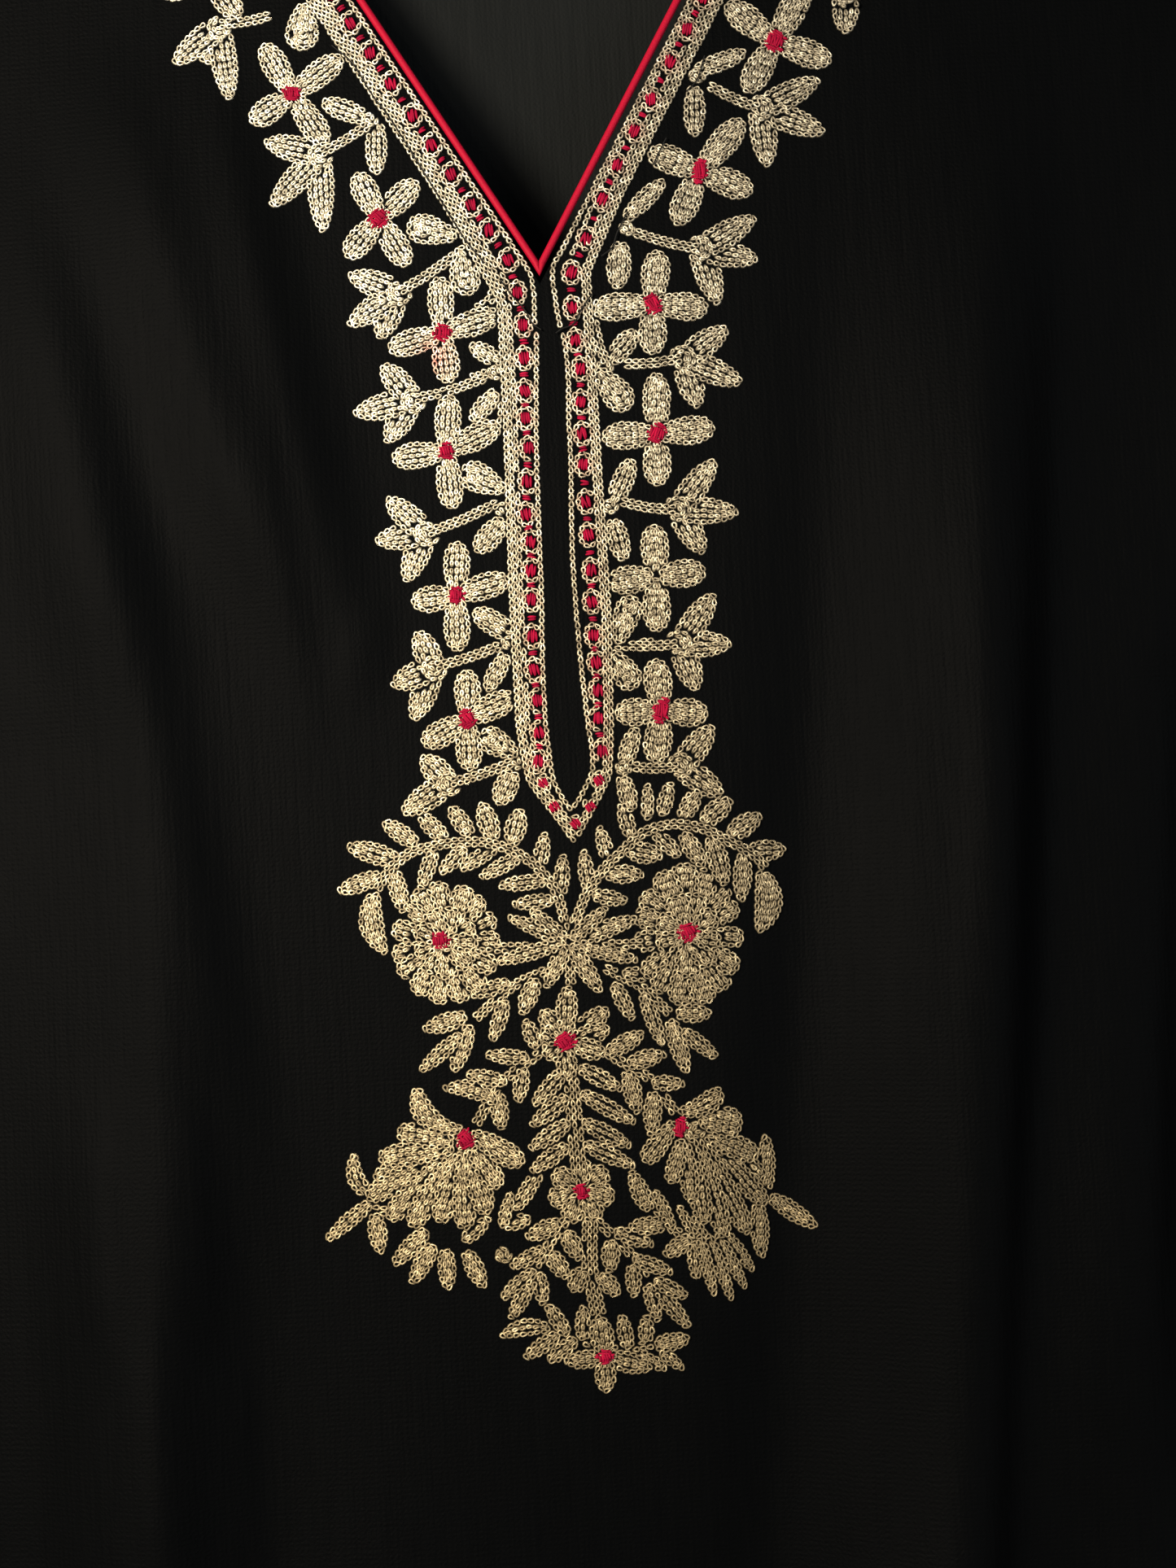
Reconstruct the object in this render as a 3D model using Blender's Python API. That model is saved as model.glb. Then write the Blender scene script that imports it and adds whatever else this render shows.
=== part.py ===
"""A floor-length black kaftan with a V neck, piped in red and edged with a raised embroidered border,
hanging on a plain wooden hanger.

Metres, +Z up. The front faces -Y. The origin is the inside top of the hook, where a rail holds it.
"""

import math

import bmesh
import bpy
import numpy as np

# The cloth
WALL = 0.0015
SEAM = 0.0003
SEAM_TO_MIDDLE = SEAM / 2 + WALL / 2
ARMHOLE_GAP = 0.0012

# The hanger and its hook
HANGER_HALF = 0.215
HANGER_CROWN_Z = -0.088
HANGER_DROP = 0.062
HANGER_BEND = 1.25
HANGER_THICK = 0.012
HANGER_TALL_MIDDLE = 0.026
HANGER_TALL_TIP = 0.017
HOOK_WIRE = 0.0038
HOOK_INNER_RADIUS = 0.021
HOOK_MOUTH_DEGREES = 205.0
HOOK_TURN_DEGREES = -58.0

# The garment's main sizes
CLOTH_ON_HANGER = 0.0012
SHOULDER_HALF = 0.235
NECK_HALF = 0.092
V_DEPTH = 0.160
BACK_SCOOP = 0.022
ARMHOLE_DEEP = 0.265
HEM_Z = -1.455
HEM_SIDE_LIFT = 0.012
SIDE_WIDTHS = (
    # below the shoulder tip, half the width there
    (0.000, 0.235),
    (0.265, 0.262),
    (0.650, 0.292),
    (1.300, 0.352),
)

# How deep the garment hangs from front to back, at a distance below the shoulder line
DEPTH_TOP = 0.0095
DEPTH_MORE = 0.0405
DEPTH_FALL = 0.35
SHOULDER_ROLL = 0.008
SIDE_SQUARENESS = 6
UNDERARM_CLOSE = 0.12
FOLDS_START = 0.08

# Sleeves: the top and under lines as x and z of a start, a pull and an end
SLEEVE_TOP_PULL = (0.338, -0.205)
SLEEVE_TOP_END = (0.482, -0.640)
SLEEVE_UNDER_PULL = (0.288, -0.530)
SLEEVE_UNDER_END = (0.316, -0.708)
SLEEVE_DEPTH = 0.026
SLEEVE_SETTLES = 0.35

# The embroidered border and the neck's piping
BORDER_THICK = 0.0012
BORDER_LIFT = 0.0004
BORDER_FROM_NECK = 0.0035
BORDER_WIDE = 0.0130
BORDER_BELOW_SHOULDER = 0.014
SLIT_HALF = 0.0045
SLIT_LONG = 0.172
SLIT_INNER_TIP = 0.186
SLIT_OUTER_TIP = 0.200
PIPING_RADIUS = 0.0013

# How finely each piece is divided
NECK_COLUMNS = 8
NECK_CROWDING = 1.5
SIDE_COLUMNS = 12
TOP_ROW_DROPS = (0.0, 0.0025, 0.006, 0.011, 0.020, 0.036)
FRONT_ROWS = 29
BACK_ROWS = 24
SLEEVE_AROUND = 22
SLEEVE_RINGS = 12

# The largest folds. A crest runs from the top point to the low point, reaches so far to its left and
# right, and stands so high. One that runs on keeps its height down to the hem.
FOLD_COLUMNS = ("x_top", "z_top", "x_low", "z_low", "left", "right", "high", "runs_on")
FRONT_FOLDS = (
    (-0.124, -0.150, -0.070, -0.420, 0.030, 0.013, 0.0070, False),
    (-0.160, -0.150, -0.098, -0.400, 0.030, 0.015, 0.0070, False),
    (-0.195, -0.190, -0.146, -0.430, 0.032, 0.018, 0.0080, False),
    (-0.146, -0.330, -0.172, -1.460, 0.040, 0.022, 0.0220, True),
    (0.166, -0.150, 0.113, -0.720, 0.046, 0.020, 0.0130, False),
    (0.226, -0.280, 0.180, -0.740, 0.028, 0.012, 0.0130, False),
    (0.115, -0.560, 0.098, -1.460, 0.036, 0.022, 0.0230, True),
    (0.196, -0.500, 0.196, -1.460, 0.030, 0.020, 0.0260, True),
    (-0.245, -0.460, -0.258, -1.460, 0.028, 0.024, 0.0220, True),
    (-0.078, -0.620, -0.090, -1.460, 0.030, 0.024, 0.0180, True),
    (0.008, -0.660, 0.006, -1.460, 0.032, 0.026, 0.0160, True),
    (0.262, -0.640, 0.284, -1.460, 0.026, 0.022, 0.0180, True),
)
BACK_FOLDS = (
    (-0.150, -0.180, -0.120, -0.700, 0.036, 0.024, 0.0090, False),
    (0.140, -0.180, 0.118, -0.720, 0.030, 0.036, 0.0100, False),
    (-0.215, -0.380, -0.248, -1.460, 0.032, 0.026, 0.0220, True),
    (-0.115, -0.480, -0.142, -1.460, 0.034, 0.026, 0.0240, True),
    (-0.020, -0.340, -0.032, -1.460, 0.036, 0.028, 0.0190, True),
    (0.078, -0.520, 0.074, -1.460, 0.028, 0.034, 0.0220, True),
    (0.170, -0.420, 0.180, -1.460, 0.032, 0.024, 0.0250, True),
    (0.248, -0.560, 0.278, -1.460, 0.026, 0.024, 0.0180, True),
)
# Long soft folds of a sleeve: where round it they lie in degrees, how wide in degrees, how high
SLEEVE_FOLDS = (
    (62.0, 17.0, 0.0100),
    (114.0, 15.0, 0.0080),
    (238.0, 16.0, 0.0090),
    (294.0, 18.0, 0.0100),
)


def clear_scene():
    for thing in list(bpy.data.objects):
        bpy.data.objects.remove(thing, do_unlink=True)


def material(name, colour, roughness, metallic=0.0):
    made = bpy.data.materials.new(name)
    made.use_nodes = True
    shader = made.node_tree.nodes["Principled BSDF"]
    shader.inputs["Base Color"].default_value = (*colour, 1.0)
    shader.inputs["Roughness"].default_value = roughness
    shader.inputs["Metallic"].default_value = metallic
    made.diffuse_color = (*colour, 1.0)
    return made


def ease(share):
    """0 to 1, slow at both ends."""
    share = min(max(share, 0.0), 1.0)
    return share * share * (3.0 - 2.0 * share)


def quarter_round(share):
    """0 to 1 as a quarter of a circle rises, and 1 from there on."""
    share = min(max(share, 0.0), 1.0)
    return math.sqrt(1.0 - (1.0 - share) ** 2)


def pulled(start, pull, end, share):
    """A point of the curve from start to end that is drawn towards pull."""
    rest = 1.0 - share
    return tuple(
        rest * rest * a + 2.0 * rest * share * b + share * share * c
        for a, b, c in zip(start, pull, end)
    )


def hanger_top(x):
    return HANGER_CROWN_Z - HANGER_DROP * (abs(x) / HANGER_HALF) ** HANGER_BEND


def shoulder_line(x):
    return hanger_top(x) + WALL / 2 + CLOTH_ON_HANGER


NECK_Z = shoulder_line(NECK_HALF)
V_BOTTOM_Z = NECK_Z - V_DEPTH
SHOULDER_TIP_Z = shoulder_line(SHOULDER_HALF)
UNDERARM_Z = SHOULDER_TIP_Z - ARMHOLE_DEEP


def half_width(z):
    below = SHOULDER_TIP_Z - z
    return float(np.interp(below, [row[0] for row in SIDE_WIDTHS], [row[1] for row in SIDE_WIDTHS]))


def hang_depth(below_shoulder):
    return DEPTH_TOP + DEPTH_MORE * (1.0 - math.exp(-max(below_shoulder, 0.0) / DEPTH_FALL))


def armhole_share(z):
    """1 along the open armhole, closing to 0 at the underarm and below it."""
    return quarter_round((z - UNDERARM_Z) / UNDERARM_CLOSE)


def fold_height(x, z, folds):
    height = 0.0
    for row in folds:
        fold = dict(zip(FOLD_COLUMNS, row))
        along = (fold["z_top"] - z) / (fold["z_top"] - fold["z_low"])
        if along <= 0.0 or (along >= 1.0 and not fold["runs_on"]):
            continue
        crest_x = fold["x_top"] + (fold["x_low"] - fold["x_top"]) * along
        reach = fold["left"] if x < crest_x else fold["right"]
        rise = ease(along / 0.4)
        fall = 1.0 if fold["runs_on"] else ease((1.0 - along) / 0.35)
        height += fold["high"] * rise * fall * math.exp(-(((x - crest_x) / reach) ** 2))
    return height


def panel_depth(x, z, folds):
    """How far the middle of the wall lies in front of, or behind, the garment's middle plane."""
    below = shoulder_line(x) - z
    full = hang_depth(below)
    share = min(abs(x) / half_width(z), 1.0)
    side = math.sqrt(max(1.0 - share**SIDE_SQUARENESS, 0.0))
    open_edge = armhole_share(z)
    depth = full * (open_edge + (1.0 - open_edge) * side)
    fade = side * side * ease(below / FOLDS_START)
    return quarter_round(below / SHOULDER_ROLL) * (depth + fade * fold_height(x, z, folds))


def front_y(x, z):
    return -(SEAM_TO_MIDDLE + panel_depth(x, z, FRONT_FOLDS))


def back_y(x, z):
    return SEAM_TO_MIDDLE + panel_depth(x, z, BACK_FOLDS)


def v_edge_z(x):
    return V_BOTTOM_Z + V_DEPTH * abs(x) / NECK_HALF


def scoop_edge_z(x):
    return NECK_Z - BACK_SCOOP * (1.0 - (x / NECK_HALF) ** 2)


def top_edge_z(x, neck_edge):
    return neck_edge(x) if abs(x) < NECK_HALF else shoulder_line(x)


def column_share(column):
    """The share of the half width at a column, counted from the middle, so that one lies on the neck point."""
    neck_share = NECK_HALF / SHOULDER_HALF
    count = abs(column)
    if count <= NECK_COLUMNS:
        share = neck_share * (1.0 - (1.0 - count / NECK_COLUMNS) ** NECK_CROWDING)
    else:
        share = neck_share + (1.0 - neck_share) * (count - NECK_COLUMNS) / SIDE_COLUMNS
    return math.copysign(share, column)


def panel_place(column, row, rows, neck_edge, surface_y):
    share = column_share(column)
    top_z = top_edge_z(share * SHOULDER_HALF, neck_edge)
    last = len(TOP_ROW_DROPS) - 1
    hem_z = HEM_Z + HEM_SIDE_LIFT * share * share
    if row <= last:
        z = top_z - TOP_ROW_DROPS[row]
    else:
        start = top_z - TOP_ROW_DROPS[last]
        z = start + (hem_z - start) * (row - last) / (rows - last)
    x = share * half_width(z)
    return x, surface_y(x, z), z


def finish(name, bm, look):
    """The mesh as a named, smooth object with its normals facing out."""
    bmesh.ops.recalc_face_normals(bm, faces=bm.faces)
    mesh = bpy.data.meshes.new(name)
    bm.to_mesh(mesh)
    bm.free()
    mesh.shade_smooth()
    mesh.materials.append(look)
    thing = bpy.data.objects.new(name, mesh)
    bpy.context.scene.collection.objects.link(thing)
    return thing


def thicken(thing, thickness, offset=0.0):
    wall = thing.modifiers.new("wall", "SOLIDIFY")
    wall.thickness = thickness
    wall.offset = offset
    wall.use_even_offset = True


def grid(columns, rows):
    """A bmesh grid, with the column and the row of each vertex counted from one corner."""
    bm = bmesh.new()
    bmesh.ops.create_grid(bm, x_segments=columns, y_segments=rows, size=1.0)
    places = [
        (vert, round((vert.co.x + 1.0) / 2.0 * columns), round((1.0 - vert.co.y) / 2.0 * rows))
        for vert in bm.verts
    ]
    return bm, places


def body_panel(name, rows, neck_edge, surface_y, look):
    half_columns = NECK_COLUMNS + SIDE_COLUMNS
    bm, places = grid(2 * half_columns, rows)
    for vert, column, row in places:
        vert.co = panel_place(column - half_columns, row, rows, neck_edge, surface_y)
    panel = finish(name, bm, look)
    thicken(panel, WALL)
    return panel


def sleeve_fold(angle, along):
    degrees = math.degrees(angle) % 360.0
    height = sum(
        high * math.exp(-(((degrees - middle) / wide) ** 2)) for middle, wide, high in SLEEVE_FOLDS
    )
    return height * ease(along / 0.5)


def sleeve_place(side, angle, along):
    """A point of the sleeve: angle goes round it from its top line, along from the armhole to the cuff."""
    tip = SHOULDER_HALF + ARMHOLE_GAP, SHOULDER_TIP_Z
    underarm = half_width(UNDERARM_Z) + ARMHOLE_GAP, UNDERARM_Z
    top_x, top_z = pulled(tip, SLEEVE_TOP_PULL, SLEEVE_TOP_END, along)
    under_x, under_z = pulled(underarm, SLEEVE_UNDER_PULL, SLEEVE_UNDER_END, along)
    across = math.cos(angle)
    x = (top_x + under_x) / 2 + (top_x - under_x) / 2 * across
    z = (top_z + under_z) / 2 + (top_z - under_z) / 2 * across
    armhole = panel_depth(SHOULDER_HALF, z, ()) if z > UNDERARM_Z else 0.0
    hanging = SLEEVE_DEPTH * math.sqrt(max(1.0 - across**4, 0.0)) + sleeve_fold(angle, along)
    settled = ease(along / SLEEVE_SETTLES)
    depth = armhole * (1.0 - settled) + hanging * settled
    closing = math.sqrt(max(1.0 - across**8, 0.0))
    return side * x, math.copysign(depth * closing, math.sin(angle)) if closing else 0.0, z


def sleeve(name, side, look):
    bm, places = grid(SLEEVE_AROUND, SLEEVE_RINGS)
    for vert, column, row in places:
        angle = 2.0 * math.pi * column / SLEEVE_AROUND
        vert.co = sleeve_place(side, angle, row / SLEEVE_RINGS)
    bmesh.ops.remove_doubles(bm, verts=bm.verts, dist=1e-6)
    made = finish(name, bm, look)
    thicken(made, WALL)
    return made


def border_line(offset, slit_x, tip, along):
    """x and z of a line of the border, offset from the neck's edge. It runs down beside the V for the first
    half, then down beside the slit and in to the point below it."""
    run = math.hypot(NECK_HALF, V_DEPTH)
    lean_x, lean_z = NECK_HALF / run, V_DEPTH / run
    corner_z = V_BOTTOM_Z + (slit_x - offset / lean_z) * lean_z / lean_x
    top_x = NECK_HALF + offset / lean_z
    top_z = NECK_Z
    short = 0.0
    while shoulder_line(top_x - short * lean_x) - (top_z - short * lean_z) < BORDER_BELOW_SHOULDER:
        short += 0.0005
    top = top_x - short * lean_x, top_z - short * lean_z
    stops = (0.0, 0.45, 0.92, 1.0)
    x_stops = (top[0], slit_x, slit_x, 0.0)
    z_stops = (top[1], corner_z, V_BOTTOM_Z - SLIT_LONG, V_BOTTOM_Z - tip)
    return float(np.interp(along, stops, x_stops)), float(np.interp(along, stops, z_stops))


def border(name, look):
    half_stations = 50
    bm, places = grid(2 * half_stations, 2)
    for vert, station, across in places:
        side = math.copysign(1.0, station - half_stations)
        along = 1.0 - abs(station - half_stations) / half_stations
        inner_x, inner_z = border_line(BORDER_FROM_NECK, SLIT_HALF, SLIT_INNER_TIP, along)
        outer_x, outer_z = border_line(
            BORDER_FROM_NECK + BORDER_WIDE, SLIT_HALF + BORDER_WIDE, SLIT_OUTER_TIP, along
        )
        x = side * (inner_x + (outer_x - inner_x) * across / 2)
        z = inner_z + (outer_z - inner_z) * across / 2
        vert.co = x, front_y(x, z) - WALL / 2 - BORDER_LIFT - BORDER_THICK / 2, z
    made = finish(name, bm, look)
    thicken(made, BORDER_THICK)
    return made


def neck_loop():
    """Points of the piping's middle: down the right of the V, up its left, and back round behind the neck."""
    off = PIPING_RADIUS + SEAM + WALL / 4
    run = math.hypot(NECK_HALF, V_DEPTH)
    over_hanger = PIPING_RADIUS + 2 * SEAM
    front_steps, back_steps = 14, 16
    right_front = []
    for step in range(front_steps):
        x = NECK_HALF * (1.0 - step / front_steps)
        z = v_edge_z(x) + off * run / NECK_HALF
        if z > NECK_Z - SHOULDER_ROLL:
            z = min(z, NECK_Z + WALL)
        right_front.append((x - off / 2, front_y(x, min(z, shoulder_line(x) - 0.004)), z))
    bottom = (0.0, front_y(0.0, V_BOTTOM_Z), V_BOTTOM_Z + off * run / NECK_HALF)
    left_front = [(-x, y, z) for x, y, z in reversed(right_front)]
    back = []
    for step in range(1, back_steps):
        x = -NECK_HALF + 2.0 * NECK_HALF * step / back_steps
        z = scoop_edge_z(x) + off
        back.append((x, back_y(x, min(z, shoulder_line(x) - 0.004)), z))
    crossing_z = hanger_top(NECK_HALF - off) + over_hanger
    left_crossing = (-NECK_HALF + off, 0.0, crossing_z)
    right_crossing = (NECK_HALF - off, 0.0, crossing_z)
    return [*right_front, bottom, *left_front, left_crossing, *back, right_crossing]


def piping(name, look):
    curve = bpy.data.curves.new(name, "CURVE")
    curve.dimensions = "3D"
    curve.bevel_depth = PIPING_RADIUS
    curve.bevel_resolution = 1
    points = neck_loop()
    spline = curve.splines.new("POLY")
    spline.points.add(len(points) - 1)
    for slot, point in zip(spline.points, points):
        slot.co = (*point, 1.0)
    spline.use_cyclic_u = True
    curve.materials.append(look)
    thing = bpy.data.objects.new(name, curve)
    bpy.context.scene.collection.objects.link(thing)
    return thing


def hanger_body(name, look):
    stations, around = 28, 12
    bm, places = grid(around, stations)
    for vert, column, row in places:
        angle = 2.0 * math.pi * column / around
        x = -HANGER_HALF * math.cos(math.pi * row / stations)
        share = abs(x) / HANGER_HALF
        tip_round = quarter_round((1.0 - share) / 0.06)
        tall = HANGER_TALL_MIDDLE + (HANGER_TALL_TIP - HANGER_TALL_MIDDLE) * share
        size = max(tip_round, 0.25)
        y = HANGER_THICK / 2 * size * math.sin(angle)
        z = hanger_top(x) - tall / 2 + tall / 2 * size * math.cos(angle)
        vert.co = x, y, z
    bmesh.ops.remove_doubles(bm, verts=bm.verts, dist=1e-6)
    bmesh.ops.holes_fill(bm, edges=[edge for edge in bm.edges if edge.is_boundary], sides=0)
    return finish(name, bm, look)


def hook_points():
    """The wire's middle line, from the tip over the top and down to the hanger's crown."""
    radius = HOOK_INNER_RADIUS + HOOK_WIRE / 2
    centre_z = -HOOK_INNER_RADIUS
    points = []
    steps = 22
    for step in range(steps + 1):
        degrees = HOOK_MOUTH_DEGREES + (HOOK_TURN_DEGREES - HOOK_MOUTH_DEGREES) * step / steps
        angle = math.radians(degrees)
        points.append((radius * math.cos(angle), 0.0, centre_z + radius * math.sin(angle)))
    foot_z = HANGER_CROWN_Z + SEAM
    shank_top = (0.0, 0.0, -0.064)
    last_x, _, last_z = points[-1]
    for step in range(1, 6):
        x, z = pulled((last_x, last_z), (0.0, -0.050), (shank_top[0], shank_top[2]), step / 5)
        points.append((x, 0.0, z))
    points.append((0.0, 0.0, foot_z))
    return points


def hook(name, look):
    curve = bpy.data.curves.new(name, "CURVE")
    curve.dimensions = "3D"
    curve.bevel_depth = HOOK_WIRE / 2
    curve.bevel_resolution = 2
    curve.use_fill_caps = True
    points = hook_points()
    spline = curve.splines.new("POLY")
    spline.points.add(len(points) - 1)
    for slot, point in zip(spline.points, points):
        slot.co = (*point, 1.0)
    curve.materials.append(look)
    thing = bpy.data.objects.new(name, curve)
    bpy.context.scene.collection.objects.link(thing)
    return thing


def main():
    clear_scene()
    black_cloth = material("black_cloth", (0.010, 0.010, 0.009), 0.75)
    red_piping = material("red_piping", (0.55, 0.010, 0.035), 0.45)
    gold_thread = material("gold_thread", (0.62, 0.52, 0.34), 0.35, 0.8)
    wood = material("wood", (0.35, 0.20, 0.10), 0.45)
    steel = material("steel", (0.60, 0.60, 0.62), 0.25, 1.0)
    body_panel("front", FRONT_ROWS, v_edge_z, front_y, black_cloth)
    body_panel("back", BACK_ROWS, scoop_edge_z, back_y, black_cloth)
    sleeve("sleeve_right", 1.0, black_cloth)
    sleeve("sleeve_left", -1.0, black_cloth)
    piping("neck_piping", red_piping)
    border("neck_border", gold_thread)
    hanger_body("hanger_body", wood)
    hook("hanger_hook", steel)


main()
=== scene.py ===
"""A floor-length black kaftan on a wooden hanger, dressed: crepe cloth with its folds and small creases, red
satin piping round the V neck, and gold chain-stitch embroidery beside the V, down the slit and below it.

Metres, +Z up, the front facing -Y, as in the frame. The embroidery's tables are in millimetres on the front
panel: u to the wearer's left (+X), v down from the bottom of the V.
"""

import math

import bmesh
import bpy
import numpy as np
from mathutils import Matrix, Vector


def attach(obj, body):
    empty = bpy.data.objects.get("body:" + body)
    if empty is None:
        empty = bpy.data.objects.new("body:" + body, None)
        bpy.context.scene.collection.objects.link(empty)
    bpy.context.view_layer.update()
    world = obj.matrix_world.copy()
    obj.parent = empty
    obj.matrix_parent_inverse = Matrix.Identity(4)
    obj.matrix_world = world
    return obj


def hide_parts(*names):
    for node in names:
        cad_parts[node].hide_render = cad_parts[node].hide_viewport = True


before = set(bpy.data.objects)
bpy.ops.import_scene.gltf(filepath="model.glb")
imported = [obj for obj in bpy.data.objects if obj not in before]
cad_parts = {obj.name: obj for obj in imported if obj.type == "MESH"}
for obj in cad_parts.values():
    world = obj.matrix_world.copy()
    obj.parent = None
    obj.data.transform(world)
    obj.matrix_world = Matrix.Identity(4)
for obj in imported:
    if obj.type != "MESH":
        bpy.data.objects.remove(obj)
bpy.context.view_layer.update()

MM = 0.001

# The cloth and the garment's main sizes, as in the frame
WALL = 0.0015
SEAM = 0.0003
SEAM_TO_MIDDLE = SEAM / 2 + WALL / 2
ARMHOLE_GAP = 0.0012
CLOTH_ON_HANGER = 0.0012
SHOULDER_HALF = 0.235
NECK_HALF = 0.092
V_DEPTH = 0.160
BACK_SCOOP = 0.022
ARMHOLE_DEEP = 0.265
HEM_Z = -1.455
HEM_SIDE_LIFT = 0.012
SIDE_WIDTHS = (
    # below the shoulder tip, half the width there
    (0.000, 0.235),
    (0.265, 0.262),
    (0.650, 0.292),
    (1.300, 0.352),
)
DEPTH_TOP = 0.0095
DEPTH_MORE = 0.0405
DEPTH_FALL = 0.35
SHOULDER_ROLL = 0.008
SIDE_SQUARENESS = 6
UNDERARM_CLOSE = 0.12
FOLDS_START = 0.08
# The shares of its length over which a fold rises from its start and dies away at its end
FOLD_RISES, FOLD_FADES = 0.4, 0.35

# Sleeves: the top and under lines as x and z of a start, a pull and an end
SLEEVE_TOP_PULL = (0.338, -0.205)
SLEEVE_TOP_END = (0.482, -0.640)
SLEEVE_UNDER_PULL = (0.288, -0.530)
SLEEVE_UNDER_END = (0.316, -0.708)
SLEEVE_DEPTH = 0.026
SLEEVE_SETTLES = 0.35
# How much of the weave lies round a sleeve and along it
SLEEVE_WEAVE_ROUND, SLEEVE_WEAVE_LONG = 0.55, 0.60

# The hanger and its hook
HANGER_HALF = 0.215
HANGER_CROWN_Z = -0.088
HANGER_DROP = 0.062
HANGER_BEND = 1.25
HANGER_THICK = 0.012
HANGER_TALL_MIDDLE = 0.026
HANGER_TALL_TIP = 0.017
# The share of each arm that rounds off at its tip, and the share of its thickness that is left there
HANGER_TIP_ROUND, HANGER_TIP_LEFT = 0.06, 0.25
HANGER_AROUND, HANGER_STATIONS = 24, 96
HOOK_WIRE = 0.0038
HOOK_INNER_RADIUS = 0.021
HOOK_MOUTH_DEGREES = 205.0
HOOK_TURN_DEGREES = -58.0
# Where the shank below the bend is drawn to, and where it runs straight from
SHANK_PULL_Z, SHANK_Z = -0.050, -0.064
HOOK_BEND_STEPS, SHANK_STEPS = 48, 12

PIPING_RADIUS = 0.0013

# Folds, a row each: where the crest starts and ends, how far it reaches to its left and right, how high it
# stands, and whether it runs on at that height to the hem
FRONT_FOLDS = (
    (-0.124, -0.150, -0.070, -0.420, 0.030, 0.013, 0.0070, False),
    (-0.160, -0.150, -0.098, -0.400, 0.030, 0.015, 0.0070, False),
    (-0.195, -0.190, -0.146, -0.430, 0.032, 0.018, 0.0080, False),
    (-0.146, -0.330, -0.172, -1.460, 0.040, 0.022, 0.0220, True),
    (0.166, -0.150, 0.113, -0.720, 0.046, 0.020, 0.0130, False),
    (0.226, -0.280, 0.180, -0.740, 0.028, 0.012, 0.0130, False),
    (0.115, -0.560, 0.098, -1.460, 0.036, 0.022, 0.0230, True),
    (0.196, -0.500, 0.196, -1.460, 0.030, 0.020, 0.0260, True),
    (-0.245, -0.460, -0.258, -1.460, 0.028, 0.024, 0.0220, True),
    (-0.078, -0.620, -0.090, -1.460, 0.030, 0.024, 0.0180, True),
    (0.008, -0.660, 0.006, -1.460, 0.032, 0.026, 0.0160, True),
    (0.262, -0.640, 0.284, -1.460, 0.026, 0.022, 0.0180, True),
)
BACK_FOLDS = (
    (-0.150, -0.180, -0.120, -0.700, 0.036, 0.024, 0.0090, False),
    (0.140, -0.180, 0.118, -0.720, 0.030, 0.036, 0.0100, False),
    (-0.215, -0.380, -0.248, -1.460, 0.032, 0.026, 0.0220, True),
    (-0.115, -0.480, -0.142, -1.460, 0.034, 0.026, 0.0240, True),
    (-0.020, -0.340, -0.032, -1.460, 0.036, 0.028, 0.0190, True),
    (0.078, -0.520, 0.074, -1.460, 0.028, 0.034, 0.0220, True),
    (0.170, -0.420, 0.180, -1.460, 0.032, 0.024, 0.0250, True),
    (0.248, -0.560, 0.278, -1.460, 0.026, 0.024, 0.0180, True),
)
# Small creases, listed in the same form. A crease with a minus height is a trough.
FRONT_CREASES = (
    (-0.064, -0.372, -0.074, -0.418, 0.009, 0.005, 0.0016, False),
    (-0.138, -0.540, -0.134, -0.640, 0.016, 0.006, 0.0022, False),
    (-0.170, -0.530, -0.166, -0.650, 0.018, 0.007, 0.0024, False),
    (-0.153, -0.610, -0.150, -0.720, 0.012, 0.006, 0.0018, False),
    (-0.128, -0.620, -0.124, -0.740, 0.012, 0.005, 0.0018, False),
    (-0.108, -0.280, -0.086, -0.440, 0.012, 0.006, 0.0016, False),
    (0.096, -0.175, 0.150, -0.168, 0.010, 0.008, 0.0012, False),
    (0.140, -0.380, 0.132, -0.620, 0.014, 0.010, -0.0030, False),
    (0.225, -0.200, 0.186, -0.960, 0.034, 0.015, -0.0130, False),
    (0.184, -0.150, 0.093, -1.050, 0.020, 0.010, 0.0095, False),
    (0.118, -0.150, 0.026, -1.050, 0.020, 0.034, -0.0080, False),
    (0.022, -0.560, 0.016, -1.300, 0.046, 0.050, -0.0120, False),
    (-0.180, -0.220, -0.108, -0.640, 0.028, 0.013, 0.0050, False),
    (0.092, -0.640, 0.084, -0.800, 0.012, 0.007, 0.0018, False),
    (-0.044, -0.700, -0.050, -0.960, 0.014, 0.010, 0.0026, False),
    (0.044, -0.720, 0.050, -1.060, 0.014, 0.010, 0.0028, False),
    (-0.205, -0.560, -0.214, -0.900, 0.012, 0.008, 0.0026, False),
    (0.150, -0.760, 0.146, -1.180, 0.014, 0.009, 0.0030, False),
)
BACK_CREASES = (
    (-0.070, -0.150, -0.052, -0.330, 0.014, 0.010, 0.0018, False),
    (0.064, -0.150, 0.050, -0.350, 0.012, 0.014, 0.0018, False),
    (-0.186, -0.260, -0.160, -0.460, 0.014, 0.010, 0.0024, False),
    (0.196, -0.250, 0.168, -0.440, 0.010, 0.014, 0.0024, False),
    (0.022, -0.420, 0.030, -0.760, 0.012, 0.014, 0.0026, False),
    (-0.070, -0.600, -0.078, -0.980, 0.014, 0.010, 0.0026, False),
    (0.124, -0.660, 0.128, -1.080, 0.014, 0.010, 0.0028, False),
    (-0.180, -0.720, -0.196, -1.120, 0.012, 0.012, 0.0028, False),
    (0.216, -0.700, 0.232, -1.060, 0.012, 0.010, 0.0026, False),
)
# Long soft folds of a sleeve: where round it they lie in degrees, how wide in degrees, how high
SLEEVE_FOLDS = (
    (62.0, 17.0, 0.0100),
    (114.0, 15.0, 0.0080),
    (238.0, 16.0, 0.0090),
    (294.0, 18.0, 0.0100),
)
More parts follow.
